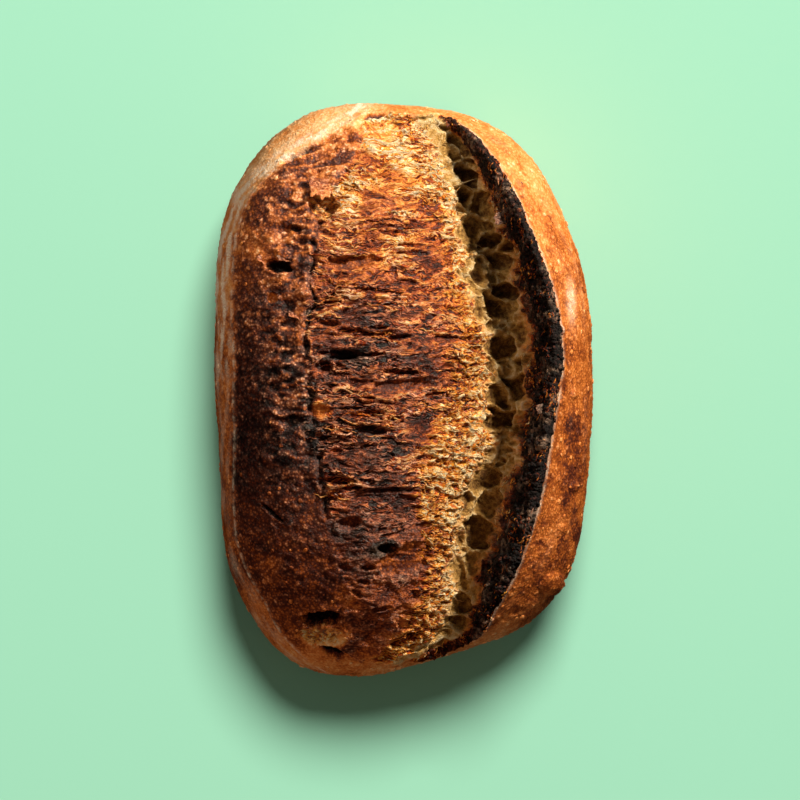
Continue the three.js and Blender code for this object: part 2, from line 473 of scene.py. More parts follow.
def foam(where):
    # how deep each place lies in a cell, in mm, and where the thin torn walls between the large ones run
    drift = np.stack([noiseSolid(where, 7, seed) for seed in (141, 142, 143)], axis=-1) * 2.2
    ripple = np.stack([noiseSolid(where, 2.6, seed) for seed in (144, 145, 146)], axis=-1) * 0.5
    bent = (where + drift + ripple) * [0.85, 1.2, 0.9]
    depth = 0
    walls = 0
    for index, (size, deepest, thin, opened) in enumerate(gasCells):
        first, second, owner = cells(bent, size, 151 + index)
        bowl = np.sqrt(clamp01(1 - first ** 2)) * rampUp(0.02, thin + 0.12, second - first)
        depth = np.maximum(depth, bowl * deepest * (0.4 + 0.6 * owner) * (owner < opened))
        walls = np.maximum(walls, (1 - rampUp(0.0, thin, second - first)) / (1 + index))
    return depth, walls


# where the dough bulged or drew in: across, along, reach, push outwards
bulges = [(-66, 76, 26, 2.6), (66, 76, 32, -3.0), (-80, -30, 28, -2.4), (-58, -102, 20, -2.4),
          (66, -90, 18, 1.6), (81, -34, 20, -1.4)]
# the largest blisters: across, along, reach, rise
bigBlisters = [(64, -83, 5.0, 2.2), (71, 52, 2.2, 0.9), (74, -2, 2.0, 1.0), (68, 26, 2.0, 1.0),
               (75, -42, 2.6, 0.9), (69, -60, 2.2, 0.8), (-56, 66, 3.0, 1.2), (-50, 12, 2.6, 1.2),
               (-60, -30, 2.4, 0.9)]
# where the ear frays most: across, along, reach
earTufts = [(44, 74, 5), (58, 2, 5), (61, -6, 4), (53, 52, 4), (60, -28, 3), (50, -60, 4), (48, 95, 4)]

# places baked darker or left paler than what lies round them: across, along, radii, turn, amount
patches = [
    (-24, 84, 7, 8, 20, -0.16), (-36, -9, 6, 5, 0, -0.32), (-22, 14, 13, 5, 3, 0.3),
    (-14, -18, 10, 5, -6, 0.28), (-8, -68, 8, 5, 6, 0.4), (4, -74, 17, 8, 14, 0.12),
    (8, -38, 12, 6, 25, 0.1), (14, -50, 9, 12, 10, -0.12), (-34, -108, 12, 5, 6, -0.42),
    (-22, -88, 9, 9, -30, -0.14), (10, -95, 16, 8, 0, -0.05), (-24, -60, 9, 7, 0, 0.12),
    (2, 30, 20, 8, 0, 0.06), (0, 62, 14, 6, 5, -0.12), (-8, 108, 12, 9, -30, -0.2),
    (22, 88, 10, 18, 20, -0.12), (-62, 62, 9, 14, 60, -0.12), (-44, 92, 11, 8, 40, 0.02),
    (-50, 72, 10, 8, 0, -0.04), (-58, -78, 7, 9, 0, -0.12), (74, -16, 5, 10, 0, 0.16),
    (78, -66, 5, 9, 10, 0.16), (66, 72, 5, 12, 25, 0.08),
]


def patchAt(x, y, spec):
    ragged = 0.3 * noiseFlat(x / 5, y / 3.5, 131) + 0.15 * noiseFlat(x / 2, y / 1.5, 132)
    return spec[5] * (1 - rampUp(0.45, 1.15, ovalReach(x, y, spec) + ragged))


# how far each torn line wanders, as layers of noise: amount, reach across and along in mm, seed
tears = {
    "jag": [(0.022, 5.5, 4.5, 31), (0.012, 1.9, 1.6, 32)],
    "fray": [(0.05, 16, 2.6, 35), (0.025, 7, 1.1, 36)],
    "bays": [(0.045, 30, 9, 29), (0.02, 12, 3.6, 30)],
    "ends": [(0.018, 6, 6, 33), (0.008, 2, 2, 34)],
    "ear": [(0.10, 4, 5, 37), (0.06, 1.5, 2, 38), (0.17, 40, 12, 39), (0.10, 20, 4.5, 40)],
}


def wander(at, line):
    total = 0
    for amount, across, along, seed in tears[line]:
        total = total + amount * noiseFlat(at.x / across, at.y / along, seed)
    return total


def markZones(at):
    # the share of each zone at every grid point; they fray along X, where the strands pulled out
    share, place, face = at.share, at.place, at.band["earFace"]
    jag = wander(at, "jag")
    fray = wander(at, "fray")
    at.ragged = place + wander(at, "ends")
    at.topSide = at.band["bloom"] + at.band["crust"]
    ends = rampUp(-0.955, -0.915, at.ragged) * (1 - rampUp(0.945, 0.965, at.ragged))
    at.onTop = at.topSide * ends
    at.toCrumb = share - alongLine(crumbEdge, place)
    at.faceTorn = at.facePlace + wander(at, "ear")
    crumbFace = face * rampUp(0.46, 0.74, at.faceTorn) * ends
    at.crumb = at.onTop * rampUp(-0.02, 0.03, at.toCrumb + jag + 0.6 * fray + wander(at, "bays"))
    at.crumb = np.maximum(at.crumb, crumbFace)
    at.golden = at.onTop * rampUp(-0.07, 0.05, share + jag + fray - alongLine(goldenEdge, place))
    at.golden = clamp01(at.golden - at.crumb)
    at.pastCrease = at.onTop * rampUp(-0.006, 0.006, share + jag - alongLine(creaseLine, place))
    at.bloom = clamp01(at.pastCrease - at.crumb - at.golden)
    at.char = face * (1 - rampUp(0.28, 0.52, at.faceTorn)) + at.band["earTip"]
    at.char = clamp01(at.char * at.opened ** 0.3) * ends
    at.brownFace = clamp01(face * ends - crumbFace - at.char)
    at.skin = clamp01(1 - at.bloom - at.golden - at.crumb - at.char - at.brownFace)
    at.darkTop = at.band["crust"] * (1 - at.pastCrease)
    at.darkTop = at.darkTop * rampUp(-0.03, 0.04, share + jag - alongLine(crustEdge, place))
    at.darkTop = at.darkTop * rampUp(-0.97, -0.86, at.ragged) * (1 - rampUp(0.86, 0.95, at.ragged))
    at.nearEnds = rampUp(0.03, 0.3, quarter(place, loaf["planRoundness"]))  # 0 at the two poles
    at.leftSide = 1 - rampUp(-0.4, 0.3, share)
    at.height = 1.1 * layered(at.points, 46, 41, 2) + 0.35 * layered(at.points, 12, 43, 2)
    at.big = layered(at.points, 30, 101, 3)
    at.fine = noiseSolid(at.points, 5, 104)
    at.speck = noiseSolid(at.points, 1.6, 105)


# heights in mm above the smooth loaf
tornLook = {
    "bigSwell": 1.4,
    "wrinkles": 1.1,
    "wrinkleGrain": 0.5,
    "crackle": 0.35,
    "calmFrom": (-0.60, -0.34),  # the strands turn to wrinkled skin between these places
    "goldenPores": 0.5,
    "goldenRidges": 0.7,
    "goldenWisps": 0.8,
}


def tearBloom(at):
    # torn bloom, calming to wrinkled skin towards the near end, and the golden crumbly band beside the crumb
    look = tornLook
    strandHeight, at.crest, at.stretched = strands(at.x, at.y)
    calm = rampUp(*look["calmFrom"], at.ragged + 0.12 * noiseFlat(at.x / 14, at.y / 10, 53))
    at.pulled = 0.12 + 0.88 * calm
    wrinkles = ridges(layered(at.points, 9, 54, 2), 2.4)
    skinHeight = look["wrinkles"] * wrinkles + look["wrinkleGrain"] * noiseSolid(at.points, 3.5, 56)
    strandHeight = strandHeight * at.pulled + (1 - at.pulled) * skinHeight
    at.crest = at.crest * at.pulled + 0.45 * wrinkles * (1 - at.pulled)
    bigSwell = look["bigSwell"] * noiseFlat(at.x / 30, at.y / 22, 51)
    crackle = look["crackle"] * ridges(noiseSolid(at.points * [0.7, 1.2, 1], 2.2, 52), 2.4)
    at.height = at.height + at.bloom * (strandHeight - 0.6 + bigSwell + crackle)

    at.pores, _, _ = cells(at.points * [0.8, 1.25, 1], 3.2, 61)
    at.wisps = ridges(noiseSolid(at.points * [0.45, 1.1, 1], 2.6, 63), 3)
    crumbly = look["goldenRidges"] * ridges(noiseSolid(at.points * [0.6, 1.2, 1], 5, 62), 2.5)
    crumbly = crumbly - look["goldenPores"] * clamp01(1 - (at.pores / 0.62) ** 2)
    crumbly = crumbly + look["goldenWisps"] * at.wisps + 0.8 * strandHeight
    at.height = at.height + at.golden * crumbly


crumbLook = {
    "walls": 0.6,
    "rise": 1.2,
    "grain": (0.5, 0.35),
    "litEdgeDepth": 0.45,  # share of the full depth, because the lit edge is torn finer than the valley
    "edgeLumps": (1.7, 0.8),
    "earLumps": 1.8,
    "earRidges": 1.3,
    "charFlakes": 1.0,
    "charLumps": 1.3,
    "shelf": 4.2,  # how far the burnt lip stands out over the valley
}


def openCrumb(at):
    # the gas cells of the crumb, and the ear's torn inner face with its burnt edge
    look = crumbLook
    face = at.band["earFace"]
    inValley = clamp01(rampUp(-0.04, 0.12, at.toCrumb) + face)
    at.cellDepth, at.cellWalls = foam(at.points)
    at.cellDepth = at.cellDepth * blendTo(look["litEdgeDepth"], 1.0, inValley) * (0.3 + 0.7 * at.opened)
    at.openShare = np.maximum(at.crumb, 0.6 * at.brownFace)
    coarse, fine = look["grain"]
    at.crumbGrain = coarse * noiseSolid(at.points * [0.6, 1.2, 1], 2.4, 181)
    at.crumbGrain = at.crumbGrain + fine * noiseSolid(at.points, 1.3, 182)
    crumbHeight = look["walls"] * at.cellWalls - at.cellDepth + look["rise"] + at.crumbGrain
    coarse, fine = look["edgeLumps"]
    lumps = coarse * noiseSolid(at.points * [1, 0.8, 1], 8, 66) + fine * noiseSolid(at.points, 3.4, 67)
    at.height = at.height + at.openShare * crumbHeight + np.maximum(at.crumb, at.golden) * (1 - face) * lumps

    torn = look["earLumps"] * layered(at.points * [1, 0.8, 1], 8, 71, 3)
    torn = torn + look["earRidges"] * ridges(noiseSolid(at.points, 3.4, 74), 3)
    flaky = look["charFlakes"] * ridges(noiseSolid(at.points, 2.8, 75), 2.5)
    flaky = flaky + look["charLumps"] * layered(at.points * [1, 0.8, 1], 6, 76, 3)
    shelf = look["shelf"] * np.exp(-((at.facePlace - 0.15) / 0.13) ** 2) * face * at.opened
    at.height = at.height + at.brownFace * torn
    at.height = at.height + at.char * ((1 - 0.35 * at.band["earTip"]) * flaky + shelf)


skinLook = {
    "blisters": 0.40,
    "fineBlisters": 0.22,
    "crags": 1.9,
    "cragCrests": 0.8,
    "crustRidges": 0.5,
}


def blisterSkin(at):
    # small blisters all over the skin, the placed large ones, and the craggy dark crust beside the crease
    look = skinLook
    near, _, owner = cells(at.points, 3.3, 81)
    nearFine, _, ownerFine = cells(at.points, 1.9, 82)
    blistered = np.maximum(rampUp(-0.3, 0.1, at.place), 1 - at.band["crust"])  # fewer at the near end
    blistered = 0.45 + 0.55 * blistered
    at.blisters = clamp01(1 - (near / (0.24 + 0.22 * owner)) ** 2) * (owner > 0.4) * blistered
    at.fineBlisters = clamp01(1 - (nearFine / 0.42) ** 2) * (ownerFine > 0.35) * blistered
    skinHeight = look["blisters"] * at.blisters + look["fineBlisters"] * at.fineBlisters
    for cx, cy, reach, rise in bigBlisters:
        away = np.hypot(at.x - cx, at.y - cy) / (reach * (1 + 0.2 * noiseFlat(at.x / 3, at.y / 3, 86)))
        skinHeight = skinHeight + rise * np.sqrt(clamp01(1 - away ** 2)) * (at.z > 30)
    at.height = at.height + at.skin * skinHeight

    at.craggy = at.darkTop * rampUp(-0.55, 0.0, at.place) * rampUp(-0.82, -0.62, at.share)
    at.crags = ridges(layered(at.points * [0.6, 1.3, 1], 6.5, 88, 2), 2.4)
    crag = look["crags"] * layered(at.points * [0.8, 1.25, 1], 12, 85, 4) + look["cragCrests"] * at.crags
    ridged = look["crustRidges"] * ridges(noiseSolid(at.points, 5, 89), 3)
    at.height = at.height + at.craggy * crag + at.darkTop * ridged


creaseLook = {
    "wander": (0.036, 0.018),
    "width": (0.7, 0.9),  # at its finest, and what its deep stretches add
    "depth": 3.0,
    "crustLip": 0.8,
    "crustLipAway": -2.8,
    "bloomLip": 1.1,
    "bloomLipAway": 2.0,
    "fades": (-0.6, -0.3),
    "rimStep": 0.35,  # where the proofing basket's rim touched
}


def cutCrease(at):
    # where the bloom tore off the crust, with a lip turned up on either side, and the step of the flour line
    look = creaseLook
    x, y, still = at.x, at.y, 0 * at.y
    slow, quick = look["wander"]
    line = alongLine(creaseLine, at.place) + slow * noiseFlat(y / 15, still, 90)
    line = line + quick * noiseFlat(y / 4.5, still, 99)
    away = (at.share + 0.006 * noiseFlat(x / 6, y / 3.4, 91) - line) * at.half
    deep = clamp01(0.45 + 0.7 * noiseFlat(y / 14, still, 92) + 0.5 * noiseFlat(y / 4.3, x / 5, 93))
    deep = deep * (1 - 0.7 * rampUp(0.45, 0.7, at.place)) * rampUp(-0.52, -0.28, at.place)
    finest, wider = look["width"]
    at.cut = np.exp(-(away / (finest + wider * deep)) ** 2) * deep
    fades = rampUp(*look["fades"], at.place)
    crustLip = np.exp(-((away - look["crustLipAway"]) / 1.5) ** 2) * fades
    bloomLip = np.exp(-((away - look["bloomLipAway"]) / 0.9) ** 2) * fades
    bloomLip = bloomLip * clamp01(0.5 + noiseFlat(y / 5, x / 9, 94))
    lips = look["crustLip"] * crustLip + look["bloomLip"] * bloomLip
    at.height = at.height + at.onTop * (lips - look["depth"] * at.cut)
    at.crest = np.maximum(at.crest, bloomLip)

    at.rimAway = (at.share - alongLine(crustEdge, at.place)) * at.half
    at.rimLine = at.band["crust"] * np.exp(-(at.rimAway / 0.5) ** 2) * (1 - at.pastCrease) * at.nearEnds
    at.height = at.height + look["rimStep"] * at.rimLine


def sinkHollows(at):
    # the named hollows and the random pockets, each with a floor of its own tone
    at.tone, at.toneMask, at.goldenFloor, at.smoothFloor = (np.zeros_like(at.x) for _ in range(4))
    pockets = randomPockets(np.random.default_rng(bloomLook["seed"]))
    for index, spec in enumerate(hollows + pockets):
        depth, tone = spec[5:]
        named = index < len(hollows)
        reachable = at.topSide * (1 if named else at.bloom) * rampUp(44, 52, at.z)
        floor, rim = (mask * reachable for mask in hollowAt(at.x, at.y, spec))
        at.height = at.height * (1 - 0.6 * floor) - depth * floor + 0.4 * rim
        at.crest = np.maximum(at.crest * (1 - 0.85 * floor), 0.8 * rim)
        at.tone = blendTo(at.tone, tone, floor)
        at.toneMask = np.maximum(at.toneMask, floor * (1.0 if named else 0.5))
        if tone < 0.2:
            at.height = at.height + floor * (2.2 * layered(at.points, 4, 98, 3) - 0.4 * at.cellDepth)
            at.goldenFloor = np.maximum(at.goldenFloor, floor)
        elif named:
            at.smoothFloor = np.maximum(at.smoothFloor, floor)


def pushOut(at):
    # every point along its normal by its height, then the bulges, and the ear's edge raised and ragged
    height = at.height * rampUp(1.5, 7, at.z)  # the base stays flat
    moved = at.points + gridNormals(at.points) * height[..., None]
    outwards = np.hypot(at.x / halfWidth, at.y / halfLength)
    for cx, cy, reach, push in bulges:
        swell = push * roundSwell(at.x, at.y, cx, cy, reach)
        swell = swell * rampUp(2, 20, at.z) * rampUp(0.5, 0.9, outwards)
        moved[..., 0] += swell * at.x / halfWidth / np.maximum(outwards, 0.1)
        moved[..., 1] += swell * at.y / halfLength / np.maximum(outwards, 0.1)

    nearTip = at.band["earTip"] + at.band["earFace"] * (1 - rampUp(0, 0.3, at.facePlace))
    nearTip = nearTip + at.band["rightFlank"] * rampUp(0.86, 1.0, at.flankRise)
    nearTip = clamp01(nearTip) * at.opened
    wave = 1.8 + 1.2 * noiseFlat(at.y / 13, 0 * at.y, 95) + 0.6 * noiseFlat(at.y / 3.5, 0 * at.y, 96)
    moved[..., 0] += nearTip * 0.5 * noiseFlat(at.y / 6, 0 * at.y, 97)
    moved[..., 2] = np.maximum(moved[..., 2] + nearTip * wave, 0)
    moved[..., 2] = np.where(at.z < 0.5, at.z, moved[..., 2])
    return moved


# how far each zone is baked, 0 pale gold to 1 black, with painted light and shade added in places; the lists
# run [place along the half length, amount]
bakeLook = {
    "bloom": [[-1, 0.5], [-0.6, 0.56], [-0.3, 0.64], [0, 0.64], [0.35, 0.53], [0.6, 0.4], [0.75, 0.3],
              [1, 0.24]],
    # the bloom's crests paler and its grooves darker: painted light and painted shade
    "crestPaintedLight": 0.52,  # how much paler a crest is than the groove beside it
    "bloomMost": 0.83,
    "golden": 0.48,
    "crust": [[-1, 0.52], [-0.6, 0.72], [-0.2, 0.82], [0.1, 0.79], [0.5, 0.67], [0.8, 0.57], [1, 0.42]],
    "flank": 0.47,
    "crumb": 0.1,
    "earFace": 0.62,
    # the crease's amount darkens the cut along it: painted shade in the crease
    "crease": 0.97,
    "hollow": (0.22, 0.78),  # for tone 0, and what tone 1 adds
}


def bakeDough(at):
    look = bakeLook
    place, share, big, fine, speck = at.place, at.share, at.big, at.fine, at.speck

    bloom = alongLine(look["bloom"], place) + 0.12 * big + 0.10 * fine + 0.08 * speck
    # where pulled, crests paler and grooves darker: painted light and painted shade
    bloom = bloom + 0.04 + (0.25 - look["crestPaintedLight"] * at.crest) * at.pulled
    bloom = np.minimum(bloom - 0.10 * rampUp(-0.2, 0.3, share), look["bloomMost"])

    golden = look["golden"] + 0.18 * fine + 0.14 * big + 0.12 * speck - 0.12 * rampUp(0.3, 0.8, place)
    golden = golden - 0.13 * (1 - rampUp(-0.3, 0.1, place)) + 0.05 * (1 - rampUp(-0.75, -0.5, place))
    # darker in its pores: painted shade
    golden = golden - 0.22 * rampUp(-0.13, -0.01, at.toCrumb) + 0.12 * clamp01(1 - (at.pores / 0.5) ** 2)
    # paler on crests and wisps: painted highlight
    golden = golden - 0.42 * (at.crest - 0.4) - 0.28 * (at.wisps - 0.35)

    crust = alongLine(look["crust"], place) + 0.08 * big + 0.08 * fine + 0.08 * speck - 0.04
    # blister tops paler; on the crags, crests paler and hollows darker: painted highlight and painted shade
    crust = crust - 0.36 * at.blisters - 0.14 * at.fineBlisters - 0.34 * at.craggy * (at.crags - 0.35)

    flank = look["flank"] + 0.09 * big + 0.08 * fine + 0.08 * speck - 0.08 * place
    flank = flank - 0.16 * at.blisters - 0.10 * at.fineBlisters
    # paler at the near end: painted light on a rim the lamps leave in shade; also paler towards the far end
    flank = flank - 0.24 * (1 - rampUp(-0.97, -0.6, place)) - 0.16 * rampUp(0.35, 0.8, place)
    # paler on the left side: painted light on a rim the lamps leave in shade; darker near the base
    flank = flank - (0.05 + 0.09 * rampUp(0.1, 0.4, place)) * at.leftSide + 0.08 * (1 - rampUp(0, 16, at.z))
    # paler still at the near right: painted light
    flank = flank - 0.13 * (1 - rampUp(-0.97, -0.7, place)) * rampUp(0, 0.5, share)
    flank = flank + 0.10 * rampUp(0.1, 0.5, noiseSolid(at.points, 4.2, 106))
    flank = flank + 0.1 * noiseSolid(at.points, 13, 107)

    face = look["earFace"] + 0.30 * (1 - rampUp(0.34, 0.56, at.faceTorn))
    face = face + 0.22 * fine + 0.2 * speck - 0.1 * big
    char = 1.0 - 0.16 * rampUp(0.2, 0.6, fine + 0.5 * speck)
    least, more = look["hollow"]

    bake = blendTo(blendTo(blendTo(flank, crust, at.darkTop), bloom, at.bloom), golden, at.golden)
    bake = bake + sum(patchAt(at.x, at.y, spec) for spec in patches) * rampUp(28, 40, at.z)
    bake = blendTo(bake, look["crumb"] + 0.05 * fine, at.crumb)
    bake = blendTo(blendTo(bake, face, at.brownFace), char, at.char)
    # the cut along the crease made nearly black: painted shade
    bake = blendTo(bake, look["crease"], at.onTop * clamp01(at.cut * 1.1))
    bake = blendTo(bake, least + more * at.tone + 0.12 * fine + 0.08 * speck, at.toneMask)
    return bake + at.goldenFloor * (0.26 - 0.4 * ridges(noiseSolid(at.points, 3, 174), 3))


# flour left by the proofing basket and at the score
flourLook = {
    "rings": [(66, 3.0), (53, 3.4), (38, 3.0), (24, 2.6)],  # height of each ring and its width
    "ringAmount": 0.4,
    "streakAmount": 1.8,
    "streakBelowRim": 5.5,
    "streakReach": 3.8,
    "rimAmount": 0.8,
    "earAmount": 0.8,
    "baseAmount": 0.35,
    "smear": (73, 39, 1.6, 8, 0.9),  # across, along, its two reaches, amount
}


def leaveFlour(at):
    look = flourLook
    x, y, z, points = at.x, at.y, at.z, at.points
    crust, rightFlank = at.band["crust"], at.band["rightFlank"]
    patchy = clamp01(0.2 + 1.1 * noiseSolid(points * [1, 0.35, 1], 9, 121))
    patchy = patchy * clamp01(0.6 + noiseSolid(points, 2.2, 122))
    rings = sum(np.exp(-((z - level + 1.5 * at.big) / wide) ** 2) for level, wide in look["rings"])
    ringSide = crust * (at.rimAway < -1) + at.band["leftBelly"] + 0.35 * (rightFlank + at.band["rightBelly"])
    farSide = 0.45 + 0.55 * rampUp(-0.1, 0.5, at.place)
    flour = look["ringAmount"] * rings * clamp01(ringSide) * patchy * farSide

    around = np.arctan2(y / halfLength, x / halfWidth) * halfLength
    streaks = 0.2 + 1.7 * noiseFlat(around / 13, at.rimAway / 1.7, 125) + 0.8 * noiseSolid(points, 1.8, 126)
    streaks = clamp01(streaks) * (0.2 + 0.8 * rampUp(-0.1, 0.35, at.place))
    belowRim = np.exp(-((at.rimAway + look["streakBelowRim"]) / look["streakReach"]) ** 2)
    flour = np.maximum(flour, crust * belowRim * at.leftSide * look["streakAmount"] * streaks)
    cx, cy, wide, long, amount = look["smear"]
    smear = np.exp(-((x - cx) / wide) ** 2 - ((y - cy) / long) ** 2)
    flour = np.maximum(flour, amount * smear * clamp01(0.7 + at.speck))
    rim = at.rimLine * clamp01(0.45 + 1.4 * noiseFlat(y / 2.2, x / 3, 123))
    flour = np.maximum(flour, look["rimAmount"] * rim)

    tipAway = (at.share - alongLine(earLine, at.place)) * at.half
    earDust = np.exp(-((tipAway - 0.8) / 0.5) ** 2) * clamp01(0.6 + 0.8 * noiseFlat(y / 6, 0 * y, 124))
    flour = np.maximum(flour, rightFlank * look["earAmount"] * earDust * rampUp(0, 0.3, at.opened))
    base = (1 - rampUp(0.5, 4, z)) * clamp01(0.5 + at.big)
    return np.maximum(flour * at.nearEnds, look["baseAmount"] * base)


def paintedGlints(at):
    # painted highlights: pale colour on ridge tops, blister tops and crag crests, and pale flecks in the
    # burnt edge
    thin = ridges(noiseSolid(at.points * [0.45, 1.3, 1], 2.6, 171), 4)
    glint = at.bloom * at.crest * (0.5 + 0.9 * thin) * (0.4 + 0.6 * at.stretched)
    glint = np.maximum(glint, at.golden * thin * (0.3 + 0.5 * rampUp(0.45, 0.75, at.place)))
    crags = 0.9 * at.craggy * rampUp(0.4, 0.8, at.crags) * thin
    glint = np.maximum(glint, at.darkTop * (0.95 * at.blisters + 0.55 * at.fineBlisters + crags))
    glint = np.maximum(glint, at.skin * 0.3 * at.blisters)
    fleck = ridges(noiseSolid(at.points, 2.4, 172), 6) * rampUp(-0.05, 0.4, noiseSolid(at.points, 7, 173))
    return np.maximum(glint * (1 - at.toneMask), 0.75 * np.maximum(at.char, at.brownFace) * fleck)


def surfaceMasks(at):
    # what the material and the scattered strands and lumps read, each 0 to 1
    burnt = np.maximum(at.char, at.brownFace)
    tufts = sum(roundSwell(at.x, at.y, *spec) for spec in earTufts)
    # darker deep in the crumb's cells and paler on their walls: painted shade
    pore = 0.3 + at.cellDepth / 5.0 - 0.35 * at.cellWalls - 0.3 * at.crumbGrain
    torn = at.bloom * (0.25 + 0.75 * at.pulled) * (0.5 + 0.5 * at.stretched) + at.golden + 0.8 * at.brownFace
    strandSpot = at.bloom * (1 - at.smoothFloor) * rampUp(0.4, 0.9, at.pulled) * (0.15 + 0.85 * at.stretched)
    masks = {
        "pore": clamp01(pore) * at.openShare,
        "bake": bakeDough(at),
        "torn": torn + at.goldenFloor - 0.8 * at.smoothFloor,
        "crumb": np.maximum(at.crumb, 0.15 * at.goldenFloor),
        "golden": at.golden,
        "glint": paintedGlints(at),
        "flour": leaveFlour(at),
        "char": at.char,
        "skin": at.skin * rampUp(4, 14, at.z) * clamp01(0.6 + 0.8 * noiseSolid(at.points, 14, 161)),
        "strandSpot": strandSpot * clamp01(0.35 + noiseSolid(at.points, 10, 162)),
        "webSpot": at.crumb,
        "threadSpot": burnt * clamp01(0.12 + 1.2 * noiseSolid(at.points, 7, 163) + 3.0 * tufts),
        "scabSpot": at.char * (1 - 0.5 * at.band["earTip"]),
    }
    return {name: clamp01(value) for name, value in masks.items()}


def shapeLoaf():
    # each step adds to at.height, in mm above the smooth surface, and pushOut applies the sum
    at = loafSurface()
    for step in (markZones, tearBloom, openCrumb, blisterSkin, cutCrease, sinkHollows):
        step(at)
    return pushOut(at), surfaceMasks(at)


def gridFaces(rows, columns):
    # quads between the rows, and a fan of triangles to the pole at each end
    r, c = np.meshgrid(np.arange(rows - 1), np.arange(columns), indexing="ij")
    nextC = (c + 1) % columns
    quads = [r * columns + c, (r + 1) * columns + c, (r + 1) * columns + nextC, r * columns + nextC]
    quads = np.stack(quads, axis=-1).reshape(-1, 4)[:, ::-1]
    ring = np.arange(columns)
    after = (ring + 1) % columns
    nearPole = rows * columns
    last = (rows - 1) * columns
    nearFan = np.stack([np.full(columns, nearPole), ring, after], axis=-1)
    farFan = np.stack([np.full(columns, nearPole + 1), last + after, last + ring], axis=-1)
    return quads, np.concatenate([nearFan, farFan])


def gridUnwrap(moved):
    # one pair for each corner of each face: U follows the length round the section, V the loaf's length
    rows, columns = moved.shape[:2]
    r, c = np.meshgrid(np.arange(rows - 1), np.arange(columns), indexing="ij")
    middleRow = moved[rows // 2]
    spans = np.linalg.norm(np.roll(middleRow, -1, axis=0) - middleRow, axis=1)
    u = np.concatenate([[0], np.cumsum(spans)])
    u /= u[-1]
    v = (np.arange(rows) + 1) / (rows + 1)
    quadU = np.stack([u[c], u[c], u[c + 1], u[c + 1]], axis=-1).reshape(-1, 4)[:, ::-1]
    quadV = np.stack([v[r], v[r + 1], v[r + 1], v[r]], axis=-1).reshape(-1, 4)[:, ::-1]
    middleU = (u[:-1] + u[1:]) / 2
    nearU = np.stack([middleU, u[:-1], u[1:]], axis=-1)
    nearV = np.stack([np.zeros(columns), np.full(columns, v[0]), np.full(columns, v[0])], axis=-1)
    farU = np.stack([middleU, u[1:], u[:-1]], axis=-1)
    farV = np.stack([np.ones(columns), np.full(columns, v[-1]), np.full(columns, v[-1])], axis=-1)
    return np.stack([
        np.concatenate([quadU.ravel(), nearU.ravel(), farU.ravel()]),
        np.concatenate([quadV.ravel(), nearV.ravel(), farV.ravel()]),
    ], axis=-1)


def addObject(name, data):
    made = bpy.data.objects.new(name, data)
    bpy.context.scene.collection.objects.link(made)
    return made


def addMask(mesh, name, values):
    attribute = mesh.attributes.new(name, "FLOAT", "POINT")
    attribute.data.foreach_set("value", np.array(values, np.float32))


def gridMesh(name, moved, masks):
    ends = [moved[0].mean(axis=0), moved[-1].mean(axis=0)]
    corners = np.concatenate([moved.reshape(-1, 3), np.array(ends)]) * mm
    quads, fans = gridFaces(*moved.shape[:2])
    mesh = bpy.data.meshes.new(name)
    mesh.vertices.add(len(corners))
    mesh.vertices.foreach_set("co", corners.ravel())
    loops = np.concatenate([quads.ravel(), fans.ravel()])
    mesh.loops.add(len(loops))
    mesh.loops.foreach_set("vertex_index", loops.astype(np.int32))
    counts = np.concatenate([np.full(len(quads), 4), np.full(len(fans), 3)])
    starts = np.concatenate([[0], np.cumsum(counts)[:-1]])
    mesh.polygons.add(len(counts))
    mesh.polygons.foreach_set("loop_start", starts.astype(np.int32))
    mesh.update(calc_edges=True)
    layer = mesh.uv_layers.new(name="OFBake")
    layer.data.foreach_set("uv", gridUnwrap(moved).ravel())
    for maskName, values in masks.items():
        addMask(mesh, maskName, [*values.ravel(), values[0].mean(), values[-1].mean()])
    mesh.validate()
    return mesh


def finished(holder, name):
    # the evaluated object as a plain mesh, with the modifier that made it removed
    graph = bpy.context.evaluated_depsgraph_get()
    made = holder.evaluated_get(graph)
    mesh = bpy.data.meshes.new_from_object(made, preserve_all_data_layers=True, depsgraph=graph)
    mesh.name = name
    holder.modifiers.clear()
    holder.data = mesh
    holder.name = name
    mesh.polygons.foreach_set("use_smooth", np.ones(len(mesh.polygons), bool))
    return holder


def makeLoaf():
    moved, masks = shapeLoaf()
    report("relief")
    mesh = gridMesh("loafGrid", moved, masks)
    holder = addObject("crust_and_crumb", mesh)
    total = sum(len(p.vertices) - 2 for p in mesh.polygons)
    thin = holder.modifiers.new("thin", "DECIMATE")
    thin.ratio = loaf["triangles"] / total
    finished(holder, "crust_and_crumb")
    print("triangles", total, "->", sum(len(p.vertices) - 2 for p in holder.data.polygons))
    return holder


def linear(hexColour):
    # sRGB hex to linear RGBA
    values = [int(hexColour[i:i + 2], 16) / 255 for i in (1, 3, 5)]
    return [v / 12.92 if v <= 0.04045 else ((v + 0.055) / 1.055) ** 2.4 for v in values] + [1.0]


def addNode(tree, kind, inputs=None, **settings):
    node = tree.nodes.new(kind)
    for name, value in settings.items():
        setattr(node, name, value)
    for name, value in (inputs or {}).items():
        socket = node.inputs[name]
        if isinstance(value, bpy.types.Node):
            value = value.outputs[0]
        if isinstance(value, bpy.types.NodeSocket):
            tree.links.new(value, socket)
        else:
            socket.default_value = value
    return node


def setStops(rampNode, stops):
    ramp = rampNode.color_ramp
    while len(ramp.elements) < len(stops):
        ramp.elements.new(0.5)
    for element, (position, colour) in zip(ramp.elements, stops):
        element.position = position
        element.color = linear(colour)


def perMetre(size):
    return 1 / (size * mm)


